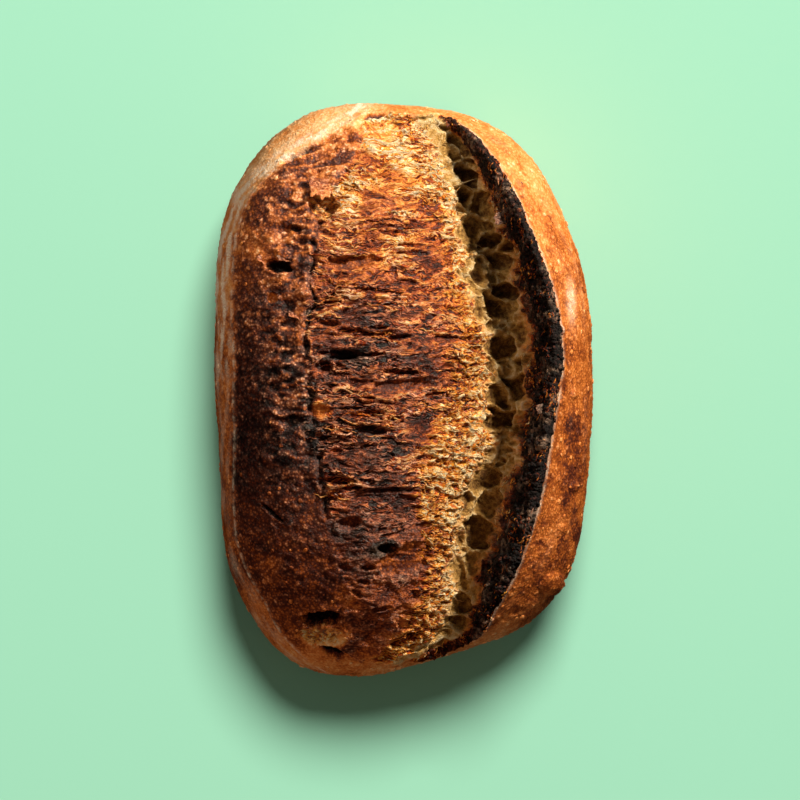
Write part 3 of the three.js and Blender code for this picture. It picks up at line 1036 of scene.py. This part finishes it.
# how the bread is coloured from pale (0) to burnt (1), and the sizes of its patterns in mm
crustLook = {
    "bakeStops": [(0.0, "#fbcf9a"), (0.2, "#efa45e"), (0.38, "#d47a35"), (0.53, "#9c4f1b"), (0.68, "#582616"),
                  (0.84, "#28100d"), (1.0, "#070302")],
    "tornStops": [(0.0, "#ffedc0"), (0.2, "#fbb53e"), (0.38, "#df7c1c"), (0.53, "#aa4312"), (0.68, "#62200e"),
                  (0.84, "#320c05"), (1.0, "#0a0302")],
    "crumbStops": [(0.0, "#2e1c0a"), (0.25, "#785020"), (0.55, "#d6a658"), (0.8, "#fadda4"),
                   (1.0, "#fff4dc")],
    "flourColour": "#f6e9d4",
    "noises": {  # size, detail and roughness
        "blotch": (7.0, 6.0, 0.65),
        "grain": (0.55, 3.0, 0.6),
        "crackle": (1.3, 3.0, 0.65),
        "mottle": (2.4, 4.0, 0.65),
        "sway": (8.0, 2.0, 0.5),
    },
    "blister": 1.3,
    "strand": 2.3,
    "strandStretch": 0.28,
    "swayReach": 7.0,
    # colour of the painted highlights, and how strongly they show on pale and on dark bread
    "glintColour": "#fbd2b4",
    "glintOnPale": 0.95,
    "glintOnDark": 0.72,
    "fibreWidth": 0.13,  # share of the noise's range that makes a ridge
    "crackleWidth": 0.14,
    "specular": 0.38,
    "crustRoughness": 0.42,
    "tornRoughness": 0.32,
    "charRoughness": 0.85,
    "crumbRoughness": 0.75,
    "flourRoughness": 0.9,
    # what each pattern does: the stretch of its range that counts, and what that gives from end to end
    "uses": {
        "blotchTone": ["blotch", (0, 1), (-0.2, 0.2)],
        "grainTone": ["grain", (0, 1), (-0.16, 0.16)],
        "blisterTone": ["blister", (0.1, 0.6), (-0.12, 0.08)],
        # fibres darker off their ridges and paler on them: painted shade and painted light
        "fibreTone": ["fibreRidge", (0, 1), (0.3, -0.24)],
        # crumb darker deep in its cells: painted shade
        "poreTone": ["pore", (0, 1), (0.28, -0.24)],
        # blisterTop and fibreTop shape the painted highlights
        "blisterTop": ["blister", (0.15, 0.5), (1, 0.1)],
        "fibreTop": ["fibreRidge", (0.55, 0.95), (0, 1)],
        "grainDust": ["grain", (0.35, 0.6), (0.2, 1.3)],
        "wear": ["blotch", (0, 1), (-0.15, 0.15)],
        "fibreRelief": ["fibreRidge", (0, 1), (0, 1)],
        "blisterRelief": ["blister", (0, 0.7), (0.22, 0)],
    },
}


def breadPatterns(tree, look):
    # the mesh's masks and the noise patterns, and under each name in look["uses"] what one of them gives
    place = addNode(tree, "ShaderNodeTexCoord").outputs["Object"]
    given = {}
    for mask in ("bake", "torn", "crumb", "flour", "glint", "pore", "char"):
        given[mask] = addNode(tree, "ShaderNodeAttribute", attribute_name=mask).outputs["Fac"]

    for name, (size, detail, roughness) in look["noises"].items():
        given[name] = addNode(tree, "ShaderNodeTexNoise", {
            "Vector": place, "Scale": perMetre(size), "Detail": detail, "Roughness": roughness})
    given["blister"] = addNode(tree, "ShaderNodeTexVoronoi", {
        "Vector": place, "Scale": perMetre(look["blister"])})

    # the fibres the dough tore along, bent by the sway
    swayAway = addNode(tree, "ShaderNodeVectorMath", {
        0: given["sway"].outputs["Color"], 1: (0.5, 0.5, 0.5)}, operation="SUBTRACT")
    swayed = addNode(tree, "ShaderNodeVectorMath", {
        0: swayAway, 1: (look["swayReach"] * mm,) * 3, 2: place}, operation="MULTIPLY_ADD")
    drawn = addNode(tree, "ShaderNodeMapping", {
        "Vector": swayed, "Scale": (look["strandStretch"], 1.0, 0.6)})
    given["fibre"] = addNode(tree, "ShaderNodeTexNoise", {
        "Vector": drawn, "Scale": perMetre(look["strand"]), "Detail": 3.0, "Roughness": 0.6,
        "Distortion": 1.1})
    for name in ("fibre", "crackle"):
        away = addNode(tree, "ShaderNodeMath", {0: given[name], 1: 0.5}, operation="SUBTRACT")
        side = addNode(tree, "ShaderNodeMath", {0: away}, operation="ABSOLUTE")
        given[name + "Ridge"] = addNode(tree, "ShaderNodeMapRange", {
            "Value": side, "From Min": 0.0, "From Max": look[name + "Width"], "To Min": 1.0, "To Max": 0.0})
    use = {}
    for name, (pattern, (lowest, highest), (first, last)) in look["uses"].items():
        use[name] = addNode(tree, "ShaderNodeMapRange", {
            "Value": given[pattern], "From Min": lowest, "From Max": highest, "To Min": first,
            "To Max": last})
    return given, use


def breadColour(tree, look, given, use):
    torn, crumb, char = (given[mask] for mask in ("torn", "crumb", "char"))
    # tone: the baked amount, broken up by each pattern, with painted shade in the fibre grooves and painted
    # light on their ridges
    skinTone = addNode(tree, "ShaderNodeMix", {
        "Factor": torn, "A": use["blisterTone"], "B": use["fibreTone"]}, data_type="FLOAT")
    tone = addNode(tree, "ShaderNodeMath", {0: given["bake"], 1: use["blotchTone"]}, operation="ADD")
    tone = addNode(tree, "ShaderNodeMath", {0: tone, 1: use["grainTone"]}, operation="ADD")
    tone = addNode(tree, "ShaderNodeMath", {0: tone, 1: skinTone}, operation="ADD", use_clamp=True)
    # crumb tone: mottled, with painted shade in the cells
    crumbTone = addNode(tree, "ShaderNodeMath", {0: given["mottle"], 1: use["poreTone"]}, operation="ADD")
    crumbTone = addNode(tree, "ShaderNodeMath", {
        0: crumbTone, 1: use["grainTone"]}, operation="ADD", use_clamp=True)
    colours = []
    for stops, along in (("bakeStops", tone), ("tornStops", tone), ("crumbStops", crumbTone)):
        colours.append(addNode(tree, "ShaderNodeValToRGB", {"Fac": along}))
        setStops(colours[-1], look[stops])
    crustColour, tornColour, crumbColour = colours

    # painted highlights on ridge and blister tops and in the char, and flour dusted over everything
    glintShape = addNode(tree, "ShaderNodeMix", {
        "Factor": torn, "A": use["blisterTop"], "B": use["fibreTop"]}, data_type="FLOAT")
    glintShape = addNode(tree, "ShaderNodeMath", {0: glintShape, 1: char}, operation="MAXIMUM")
    glintFade = addNode(tree, "ShaderNodeMapRange", {
        "Value": tone, "From Min": 0.25, "From Max": 0.8, "To Min": look["glintOnPale"],
        "To Max": look["glintOnDark"]})
    glinting = addNode(tree, "ShaderNodeMath", {0: given["glint"], 1: glintShape}, operation="MULTIPLY")
    glinting = addNode(tree, "ShaderNodeMath", {
        0: glinting, 1: glintFade}, operation="MULTIPLY", use_clamp=True)
    dusty = addNode(tree, "ShaderNodeMath", {
        0: given["flour"], 1: use["grainDust"]}, operation="MULTIPLY", use_clamp=True)

    colour = crustColour.outputs["Color"]
    glintColour, flourColour = linear(look["glintColour"]), linear(look["flourColour"])
    coats = ((torn, tornColour), (crumb, crumbColour), (glinting, glintColour), (dusty, flourColour))
    for amount, coat in coats:
        colour = addNode(tree, "ShaderNodeMix", {
            "Factor": amount, 6: colour, 7: coat}, data_type="RGBA").outputs[2]
    rough = look["crustRoughness"]
    for amount, finish in ((torn, "torn"), (char, "char"), (crumb, "crumb"), (dusty, "flour")):
        rough = addNode(tree, "ShaderNodeMix", {
            "Factor": amount, "A": rough, "B": look[finish + "Roughness"]}, data_type="FLOAT")
    rough = addNode(tree, "ShaderNodeMath", {0: rough, 1: use["wear"]}, operation="ADD", use_clamp=True)
    return colour, rough


def breadRelief(tree, given, use):
    # in mm, finer than the mesh carries: fibres where torn, blisters and crackle elsewhere
    charRelief = addNode(tree, "ShaderNodeMath", {0: given["crackleRidge"], 1: 0.7}, operation="MULTIPLY")
    relief = addNode(tree, "ShaderNodeMix", {
        "Factor": given["torn"], "A": use["blisterRelief"], "B": use["fibreRelief"]}, data_type="FLOAT")
    roughPart = addNode(tree, "ShaderNodeMath", {0: given["char"], 1: given["crumb"]}, operation="MAXIMUM")
    relief = addNode(tree, "ShaderNodeMix", {
        "Factor": roughPart, "A": relief, "B": charRelief}, data_type="FLOAT")
    grainRelief = addNode(tree, "ShaderNodeMath", {0: given["grain"], 1: 0.45}, operation="MULTIPLY")
    relief = addNode(tree, "ShaderNodeMath", {0: relief, 1: grainRelief}, operation="ADD")
    return addNode(tree, "ShaderNodeBump", {"Height": relief, "Distance": mm, "Strength": 1.0})


def breadMaterial(name, look):
    material = bpy.data.materials.new(name)
    material.use_nodes = True
    tree = material.node_tree
    tree.nodes.clear()
    given, use = breadPatterns(tree, look)
    colour, rough = breadColour(tree, look, given, use)
    bump = breadRelief(tree, given, use)
    shader = addNode(tree, "ShaderNodeBsdfPrincipled", {
        "Base Color": colour, "Roughness": rough, "IOR": 1.5, "Specular IOR Level": look["specular"],
        "Normal": bump})
    addNode(tree, "ShaderNodeOutputMaterial", {"Surface": shader})
    return material


def treeInputs(tree, sockets):
    # named inputs in order, and the sockets that give them out
    kinds = {float: "NodeSocketFloat", int: "NodeSocketInt", str: "NodeSocketString"}
    tree.interface.new_socket("Geometry", in_out="INPUT", socket_type="NodeSocketGeometry")
    for label, value in sockets.items():
        kind = kinds.get(type(value), "NodeSocketMaterial")
        socket = tree.interface.new_socket(label, in_out="INPUT", socket_type=kind)
        if value is not None:
            socket.default_value = value
    tree.interface.new_socket("Geometry", in_out="OUTPUT", socket_type="NodeSocketGeometry")
    return addNode(tree, "NodeGroupInput").outputs


def scatterOn(tree, given):
    # points over the surface where the named mask allows, each a little more or less baked than its place
    where = addNode(tree, "GeometryNodeInputNamedAttribute", {"Name": given["Where"]}, data_type="FLOAT")
    density = addNode(tree, "ShaderNodeMath", {
        0: where, 1: given["Per Square Metre"]}, operation="MULTIPLY")
    seeds = addNode(tree, "GeometryNodeDistributePointsOnFaces", {
        "Mesh": given["Geometry"], "Density": density, "Seed": given["Seed"]}, distribute_method="RANDOM")
    least, most = (addNode(tree, "ShaderNodeMath", {
        0: given["Bake Shift"], 1: given["Bake Spread"]}, operation=way) for way in ("SUBTRACT", "ADD"))
    shift = addNode(tree, "FunctionNodeRandomValue", {
        2: least, 3: most, "Seed": given["Seed"]}, data_type="FLOAT")
    baked = addNode(tree, "GeometryNodeInputNamedAttribute", {"Name": "bake"}, data_type="FLOAT")
    newBake = addNode(tree, "ShaderNodeMath", {
        0: baked, 1: shift.outputs[1]}, operation="ADD", use_clamp=True)
    points = seeds.outputs["Points"]
    for mask, value in {"bake": newBake, "torn": given["Torn"]}.items():
        points = addNode(tree, "GeometryNodeStoreNamedAttribute", {
            "Geometry": points, "Name": mask, "Value": value}, data_type="FLOAT", domain="POINT")
    return points, seeds


def shredTree():
    # thin strands laid over the surface: each follows it, bridges its dips and tapers at both ends
    tree = bpy.data.node_groups.new("torn_strands", "GeometryNodeTree")
    given = treeInputs(tree, {
        "Where": "bake", "Per Square Metre": 4000.0, "Length": 0.02, "Thickness": 0.0004, "Wobble": 0.002,
        "Heading": 0.0, "Turn": 0.2, "Lift": 0.0002, "Bridge": 2, "Bake Shift": 0.0, "Bake Spread": 0.1,
        "Torn": 1.0, "Seed": 1, "Material": None})
    points, _ = scatterOn(tree, given)
    line = addNode(tree, "GeometryNodeCurvePrimitiveLine", {"Start": (-0.5, 0, 0), "End": (0.5, 0, 0)})
    line = addNode(tree, "GeometryNodeResampleCurve", {"Curve": line, "Count": 15})
    leastTurn, mostTurn = (addNode(tree, "ShaderNodeMath", {
        0: given["Heading"], 1: given["Turn"]}, operation=way) for way in ("SUBTRACT", "ADD"))
    heading = addNode(tree, "FunctionNodeRandomValue", {
        2: leastTurn, 3: mostTurn, "Seed": given["Seed"]}, data_type="FLOAT")
    turned = addNode(tree, "ShaderNodeCombineXYZ", {"Z": heading.outputs[1]})
    lengthSeed = addNode(tree, "ShaderNodeMath", {0: given["Seed"], 1: 1.0}, operation="ADD")
    spread = addNode(tree, "FunctionNodeRandomValue", {
        2: 0.35, 3: 1.3, "Seed": lengthSeed}, data_type="FLOAT")
    long = addNode(tree, "ShaderNodeMath", {0: spread.outputs[1], 1: given["Length"]}, operation="MULTIPLY")
    scale = addNode(tree, "ShaderNodeCombineXYZ", {"X": long, "Y": 1.0, "Z": 1.0})
    laid = addNode(tree, "GeometryNodeInstanceOnPoints", {
        "Points": points, "Instance": line, "Rotation": turned, "Scale": scale})
    loose = addNode(tree, "GeometryNodeRealizeInstances", {"Geometry": laid})

    # waves about 7 mm long
    wave = addNode(tree, "ShaderNodeTexNoise", {"Scale": 150.0, "Detail": 3.0, "Roughness": 0.75})
    centred = addNode(tree, "ShaderNodeVectorMath", {
        0: wave.outputs["Color"], 1: (0.5, 0.5, 0.5)}, operation="SUBTRACT")
    wobble = addNode(tree, "ShaderNodeVectorMath", {
        0: centred, "Scale": given["Wobble"]}, operation="SCALE")
    strayed = addNode(tree, "GeometryNodeSetPosition", {"Geometry": loose, "Offset": wobble})

    # laid on the nearest surface, then pulled taut so that it stays above the dips
    nearest = addNode(tree, "GeometryNodeProximity", {
        "Geometry": given["Geometry"]}, target_element="FACES")
    landed = addNode(tree, "ShaderNodeSeparateXYZ", {"Vector": nearest.outputs["Position"]})
    taut = addNode(tree, "GeometryNodeBlurAttribute", {
        0: landed.outputs["Z"], "Iterations": given["Bridge"]}, data_type="FLOAT")
    higher = addNode(tree, "ShaderNodeMath", {0: taut, 1: landed.outputs["Z"]}, operation="MAXIMUM")
    raised = addNode(tree, "ShaderNodeMath", {0: higher, 1: given["Lift"]}, operation="ADD")
    resting = addNode(tree, "ShaderNodeCombineXYZ", {
        "X": landed.outputs["X"], "Y": landed.outputs["Y"], "Z": raised})
    draped = addNode(tree, "GeometryNodeSetPosition", {"Geometry": strayed, "Position": resting})

    along = addNode(tree, "GeometryNodeSplineParameter").outputs["Factor"]
    half = addNode(tree, "ShaderNodeMath", {0: along, 1: math.pi}, operation="MULTIPLY")
    bulge = addNode(tree, "ShaderNodeMath", {0: half}, operation="SINE")
    taper = addNode(tree, "ShaderNodeMath", {0: bulge, 1: 0.6}, operation="POWER")
    uneven = addNode(tree, "ShaderNodeMath", {0: wave, 1: 0.35}, operation="ADD")
    thin = addNode(tree, "ShaderNodeMath", {0: taper, 1: uneven}, operation="MULTIPLY")
    thin = addNode(tree, "ShaderNodeMath", {0: thin, 1: given["Thickness"]}, operation="MULTIPLY")
    ring = addNode(tree, "GeometryNodeCurvePrimitiveCircle", {"Resolution": 5, "Radius": 1.0})
    solid = addNode(tree, "GeometryNodeCurveToMesh", {
        "Curve": draped, "Profile Curve": ring, "Scale": thin, "Fill Caps": True})
    whole = addNode(tree, "GeometryNodeRealizeInstances", {"Geometry": solid})
    made = addNode(tree, "GeometryNodeSetMaterial", {"Geometry": whole, "Material": given["Material"]})
    addNode(tree, "NodeGroupOutput", {"Geometry": made})
    return tree


def lumpTree():
    # small closed lumps set into the surface: smooth domes for blisters, rough ones for burnt scabs
    tree = bpy.data.node_groups.new("crust_lumps", "GeometryNodeTree")
    given = treeInputs(tree, {
        "Where": "bake", "Per Square Metre": 4000.0, "Size": 0.001, "Flatness": 0.4, "Stretch": 1.0,
        "Roughness": 0.0, "Sink": 0.0001, "Bake Shift": 0.0, "Bake Spread": 0.1, "Torn": 0.0, "Rounds": 2,
        "Seed": 1, "Material": None})
    points, seeds = scatterOn(tree, given)
    sink = addNode(tree, "ShaderNodeMath", {0: given["Sink"], 1: -1.0}, operation="MULTIPLY")
    inwards = addNode(tree, "ShaderNodeVectorMath", {
        0: seeds.outputs["Normal"], "Scale": sink}, operation="SCALE")
    sunk = addNode(tree, "GeometryNodeSetPosition", {"Geometry": points, "Offset": inwards})
    ball = addNode(tree, "GeometryNodeMeshIcoSphere", {"Radius": 1.0, "Subdivisions": given["Rounds"]})
    spin = addNode(tree, "FunctionNodeRandomValue", {
        2: 0.0, 3: 2 * math.pi, "Seed": given["Seed"]}, data_type="FLOAT")
    spun = addNode(tree, "ShaderNodeCombineXYZ", {"Z": spin.outputs[1]})
    turned = addNode(tree, "FunctionNodeRotateRotation", {
        "Rotation": seeds.outputs["Rotation"], "Rotate By": spun}, rotation_space="LOCAL")
    sizeSeed = addNode(tree, "ShaderNodeMath", {0: given["Seed"], 1: 1.0}, operation="ADD")
    spread = addNode(tree, "FunctionNodeRandomValue", {
        2: 0.35, 3: 1.0, "Seed": sizeSeed}, data_type="FLOAT")
    across = addNode(tree, "ShaderNodeMath", {0: spread.outputs[1], 1: given["Size"]}, operation="MULTIPLY")
    long = addNode(tree, "ShaderNodeMath", {0: across, 1: given["Stretch"]}, operation="MULTIPLY")
    tall = addNode(tree, "ShaderNodeMath", {0: across, 1: given["Flatness"]}, operation="MULTIPLY")
    scale = addNode(tree, "ShaderNodeCombineXYZ", {"X": long, "Y": across, "Z": tall})
    placed = addNode(tree, "GeometryNodeInstanceOnPoints", {
        "Points": sunk, "Instance": ball.outputs["Mesh"], "Rotation": turned, "Scale": scale})
    whole = addNode(tree, "GeometryNodeRealizeInstances", {"Geometry": placed})
    lumpy = addNode(tree, "ShaderNodeTexNoise", {"Scale": 700.0, "Detail": 2.0})  # about 1.4 mm
    centred = addNode(tree, "ShaderNodeVectorMath", {
        0: lumpy.outputs["Color"], 1: (0.5, 0.5, 0.5)}, operation="SUBTRACT")
    pushed = addNode(tree, "ShaderNodeVectorMath", {
        0: centred, "Scale": given["Roughness"]}, operation="SCALE")
    rough = addNode(tree, "GeometryNodeSetPosition", {"Geometry": whole, "Offset": pushed})
    made = addNode(tree, "GeometryNodeSetMaterial", {"Geometry": rough, "Material": given["Material"]})
    addNode(tree, "NodeGroupOutput", {"Geometry": made})
    return tree


# strands and lumps in metres, as the trees take them, with headings in radians from +X
strandSets = {
    "bloom_strands": {
        "Where": "strandSpot", "Per Square Metre": 42000.0, "Length": 0.017, "Thickness": 0.0005,
        "Wobble": 0.008, "Turn": 0.22, "Lift": 0.00005, "Bridge": 3, "Bake Shift": -0.04,
        "Bake Spread": 0.14, "Seed": 3},
    "golden_shreds": {
        "Where": "golden", "Per Square Metre": 150000.0, "Length": 0.0078, "Thickness": 0.00032,
        "Wobble": 0.007, "Turn": 0.65, "Lift": 0.0001, "Bridge": 2, "Bake Shift": -0.02,
        "Bake Spread": 0.22, "Seed": 5},
    "crumb_webs": {
        "Where": "webSpot", "Per Square Metre": 32000.0, "Length": 0.0085, "Thickness": 0.00036,
        "Wobble": 0.005, "Turn": 0.6, "Lift": 0.0, "Bridge": 8, "Bake Shift": 0.0,
        "Bake Spread": 0.1, "Torn": 0.0, "Seed": 7},
    # paler than the char they lie on: real threads, lightened further as painted glints
    "ear_threads": {
        "Where": "threadSpot", "Per Square Metre": 260000.0, "Length": 0.0036, "Thickness": 0.00036,
        "Wobble": 0.006, "Heading": 1.57, "Turn": 0.6, "Lift": 0.0005, "Bridge": 3, "Bake Shift": -0.34,
        "Bake Spread": 0.2, "Seed": 9},
}

lumpSets = {
    "crust_blisters": {
        "Where": "skin", "Per Square Metre": 9000.0, "Size": 0.0012, "Flatness": 0.3, "Stretch": 1.2,
        "Roughness": 0.0002, "Sink": 0.0001, "Bake Shift": -0.16, "Bake Spread": 0.14, "Seed": 11},
    "ear_scabs": {
        "Where": "scabSpot", "Per Square Metre": 900000.0, "Size": 0.00085, "Flatness": 0.7, "Stretch": 1.6,
        "Roughness": 0.0012, "Sink": 0.0001, "Bake Shift": -0.06, "Bake Spread": 0.16, "Rounds": 1,
        "Seed": 13},
}


def growOn(base, name, tree, settings):
    # runs the tree on the loaf's surface and keeps the result as a piece of its own
    holder = addObject(name, base.data.copy())
    modifier = holder.modifiers.new("grow", "NODES")
    modifier.node_group = tree
    identifiers = {item.name: item.identifier for item in tree.interface.items_tree if item.in_out == "INPUT"}
    for label, value in settings.items():
        modifier[identifiers[label]] = value
    finished(holder, name)
    print(f"{name}: {len(holder.data.polygons)} faces")
    return holder


# torn pieces of crust that curled up while baking: hinge across and along, height above the surface there,
# width and reach, heading of the free edge and how far it curls in degrees, how baked it is
flaps = [
    (-35, 91, 1.6, 11.0, 9.5, 265, 55, 0.44),
    (-50, 57.5, 0.0, 9.0, 2.6, 262, 55, 0.66),
    (-60, 57, 0.0, 6.0, 2.6, 230, 60, 0.60),
    (-37, 46, 0.0, 6.0, 2.6, 265, 60, 0.56),
    (-46, 33, 0.0, 7.0, 2.6, 250, 60, 0.62),
    (-25, 60, 0.0, 12.0, 2.4, 272, 45, 0.62),
    (44, 74, 0.6, 6.0, 5.0, 180, 35, 0.80),
    (52, 88, 0.4, 5.0, 3.4, 200, 50, 0.86),
    (60, -8, 0.4, 4.5, 3.4, 185, 50, 0.86),
]

flapLook = {
    "across": 20,  # faces along the hinge
    "out": 9,  # faces from hinge to free edge
    "thickness": 1.1,
    "edgeThickness": 0.35,
    "ragged": 0.22,  # share of the reach
    "sink": 1.2,  # how deep the hinge starts under the surface
}


def flapPoints(spec, index, height):
    # top and under side of one flap, row by row from its hinge to its free edge, in mm, and how baked it is
    cx, cy, rise, wide, reach, heading, curl, amount = spec
    u = np.linspace(-0.5, 0.5, flapLook["across"] + 1)[None, :]
    v = np.linspace(0, 1, flapLook["out"] + 1)[:, None]
    torn = noiseFlat(u * wide / 2.2 + index * 9.1, 0 * u, 171) * np.sqrt(1 - 3.6 * u * u)
    edge = reach * (1 + flapLook["ragged"] * torn)
    bend = np.radians(curl)
    angle = bend * v * (1 + 0.3 * noiseFlat(u * wide / 4 + index * 5.3, v, 172))
    out = edge * np.sin(angle) / bend
    up = edge * (1 - np.cos(angle)) / bend + 0.5 * noiseFlat(u * wide / 2, v * reach / 2, 173)
    up = up + rise - flapLook["sink"] * (1 - v)
    side = u * wide * (1 - 0.25 * v) + 0.6 * noiseFlat(u * wide / 2.5, v * 2 + index, 174)
    c, s = math.cos(math.radians(heading)), math.sin(math.radians(heading))
    x = cx + c * out - s * side
    y = cy + s * out + c * side
    z = height + up
    thick = blendTo(flapLook["thickness"], flapLook["edgeThickness"], v) + 0 * x
    top = np.stack([x, y, z + thick / 2], axis=-1).reshape(-1, 3)
    under = np.stack([x, y, z - thick / 2], axis=-1).reshape(-1, 3)
    return np.concatenate([top, under]), np.tile((amount + 0.1 - 0.22 * v + 0 * x).ravel(), 2)


def makeFlaps(base, name):
    vertices = []
    faces = []
    baked = []
    columns, rows = flapLook["across"] + 1, flapLook["out"] + 1
    count = rows * columns
    rim = list(range(columns))
    rim += [r * columns + columns - 1 for r in range(1, rows)]
    rim += [(rows - 1) * columns + k for k in range(columns - 2, -1, -1)]
    rim += [r * columns for r in range(rows - 2, 0, -1)]
    for index, spec in enumerate(flaps):
        found, hit, _, _ = base.ray_cast((spec[0] * mm, spec[1] * mm, 0.2), (0, 0, -1))
        if not found:
            continue
        start = len(vertices)
        corners, tones = flapPoints(spec, index, hit.z / mm)
        vertices.extend(corners * mm)
        baked.extend(tones)
        for r in range(rows - 1):
            for k in range(columns - 1):
                a = start + r * columns + k
                quad = (a, a + 1, a + columns + 1, a + columns)
                faces.append(quad[::-1])
                faces.append([corner + count for corner in quad])
        for a, b in zip(rim, rim[1:] + rim[:1]):
            faces.append((start + a, start + b, start + b + count, start + a + count))
    mesh = bpy.data.meshes.new(name)
    mesh.from_pydata([tuple(v) for v in vertices], [], faces)
    # each flap carries a painted highlight through its glint mask
    for maskName, values in {"bake": baked, "torn": [0.3] * len(baked), "glint": [0.5] * len(baked)}.items():
        addMask(mesh, maskName, values)
    mesh.validate()
    mesh.polygons.foreach_set("use_smooth", np.ones(len(mesh.polygons), bool))
    return addObject(name, mesh)


# satin red-brown skin with golden blisters, glossy torn fibres, matt cream crumb and black char
bakedCrust = breadMaterial("baked_sourdough_crust", crustLook)
loafPiece = makeLoaf()
loafPiece.data.materials.clear()
loafPiece.data.materials.append(bakedCrust)
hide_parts("sourdough_loaf")
report("loaf mesh")
pieces = [loafPiece]
for tree, sets in ((shredTree(), strandSets), (lumpTree(), lumpSets)):
    for name, settings in sets.items():
        pieces.append(growOn(loafPiece, name, tree, {**settings, "Material": bakedCrust}))
report("strands and lumps")
tornFlaps = makeFlaps(loafPiece, "torn_flaps")
tornFlaps.data.materials.append(bakedCrust)
pieces.append(tornFlaps)
for piece in pieces:
    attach(piece, "root")
report("flaps")


studio = {
    "floorColour": "#b2f2c9",
    "floorReach": 3.0,
    "floorRoughness": 0.9,
    "lampHeight": 0.05,  # of the point that every lamp faces, in metres
    "world": "#e6eee8",
    "worldStrength": 0.105,
    "cameraX": -1.5,  # camera in mm
    "cameraY": -4.2,
    "cameraHeight": 2368,
    "lens": 240,
}

# direction in degrees from +X towards +Y and above the floor, then distance, size and watts
lamps = {
    "key": {"direction": (48, 33), "distance": 0.8, "size": 0.08, "power": 12.3, "colour": "#fff0da"},
    "fill": {"direction": (234, 48), "distance": 1.6, "size": 1.2, "power": 5.2, "colour": "#ffc690"},
    "edge": {"direction": (122, 26), "distance": 0.9, "size": 0.25, "power": 1.8, "colour": "#fff0da"},
    "sweep": {"direction": (76, 55), "distance": 4.0, "size": 1.8, "power": 174, "colour": "#ffffff"},
}


def makeFloor():
    mesh = bpy.data.meshes.new("floor")
    reach = studio["floorReach"]
    corners = [(-reach, -reach, 0), (reach, -reach, 0), (reach, reach, 0), (-reach, reach, 0)]
    mesh.from_pydata(corners, [], [(0, 1, 2, 3)])
    floor = addObject("floor", mesh)
    material = bpy.data.materials.new("matte_studio_paper")  # even, pale and without shine
    material.use_nodes = True
    shader = material.node_tree.nodes["Principled BSDF"]
    shader.inputs["Base Color"].default_value = linear(studio["floorColour"])
    shader.inputs["Roughness"].default_value = studio["floorRoughness"]
    mesh.materials.append(material)
    floor.visible_diffuse = False  # its colour stays off the loaf
    floor.visible_glossy = False
    return floor


def addLight(name, direction, distance, size, power, colour):
    data = bpy.data.lights.new(name, "AREA")
    data.shape = "DISK"
    data.size = size
    data.energy = power
    data.color = linear(colour)[:3]
    light = addObject(name, data)
    azimuth, elevation = (math.radians(angle) for angle in direction)
    level = math.cos(elevation)
    towards = Vector((math.cos(azimuth) * level, math.sin(azimuth) * level, math.sin(elevation)))
    light.location = towards * distance + Vector((0, 0, studio["lampHeight"]))
    light.rotation_euler = towards.to_track_quat("Z", "Y").to_euler()
    return light


def lightOnly(light, objects):
    # the lamp still throws everything's shadow, but only these objects receive it
    receivers = bpy.data.collections.new(light.name + "_receivers")
    for thing in objects:
        receivers.objects.link(thing)
    light.light_linking.receiver_collection = receivers


def makeStudio(pieces):
    floor = makeFloor()
    lights = {name: addLight(name, **lamp) for name, lamp in lamps.items()}
    for name in ("key", "fill", "edge"):  # the edge lamp catches the flour on the far left rim
        lightOnly(lights[name], pieces)
    lightOnly(lights["sweep"], [floor])
    lights["fill"].visible_glossy = False  # lifts the shadows without a sheen over them
    world = bpy.data.worlds.new("studio")
    world.use_nodes = True
    background = world.node_tree.nodes["Background"]
    background.inputs["Color"].default_value = linear(studio["world"])
    background.inputs["Strength"].default_value = studio["worldStrength"]
    world.cycles_visibility.glossy = False
    bpy.context.scene.world = world
    data = bpy.data.cameras.new("camera")
    data.lens = studio["lens"]
    data.clip_end = 20
    camera = addObject("camera", data)
    camera.location = (studio["cameraX"] * mm, studio["cameraY"] * mm, studio["cameraHeight"] * mm)
    bpy.context.scene.camera = camera
    bpy.context.scene.view_settings.view_transform = "Standard"


makeStudio(pieces)
report("studio")
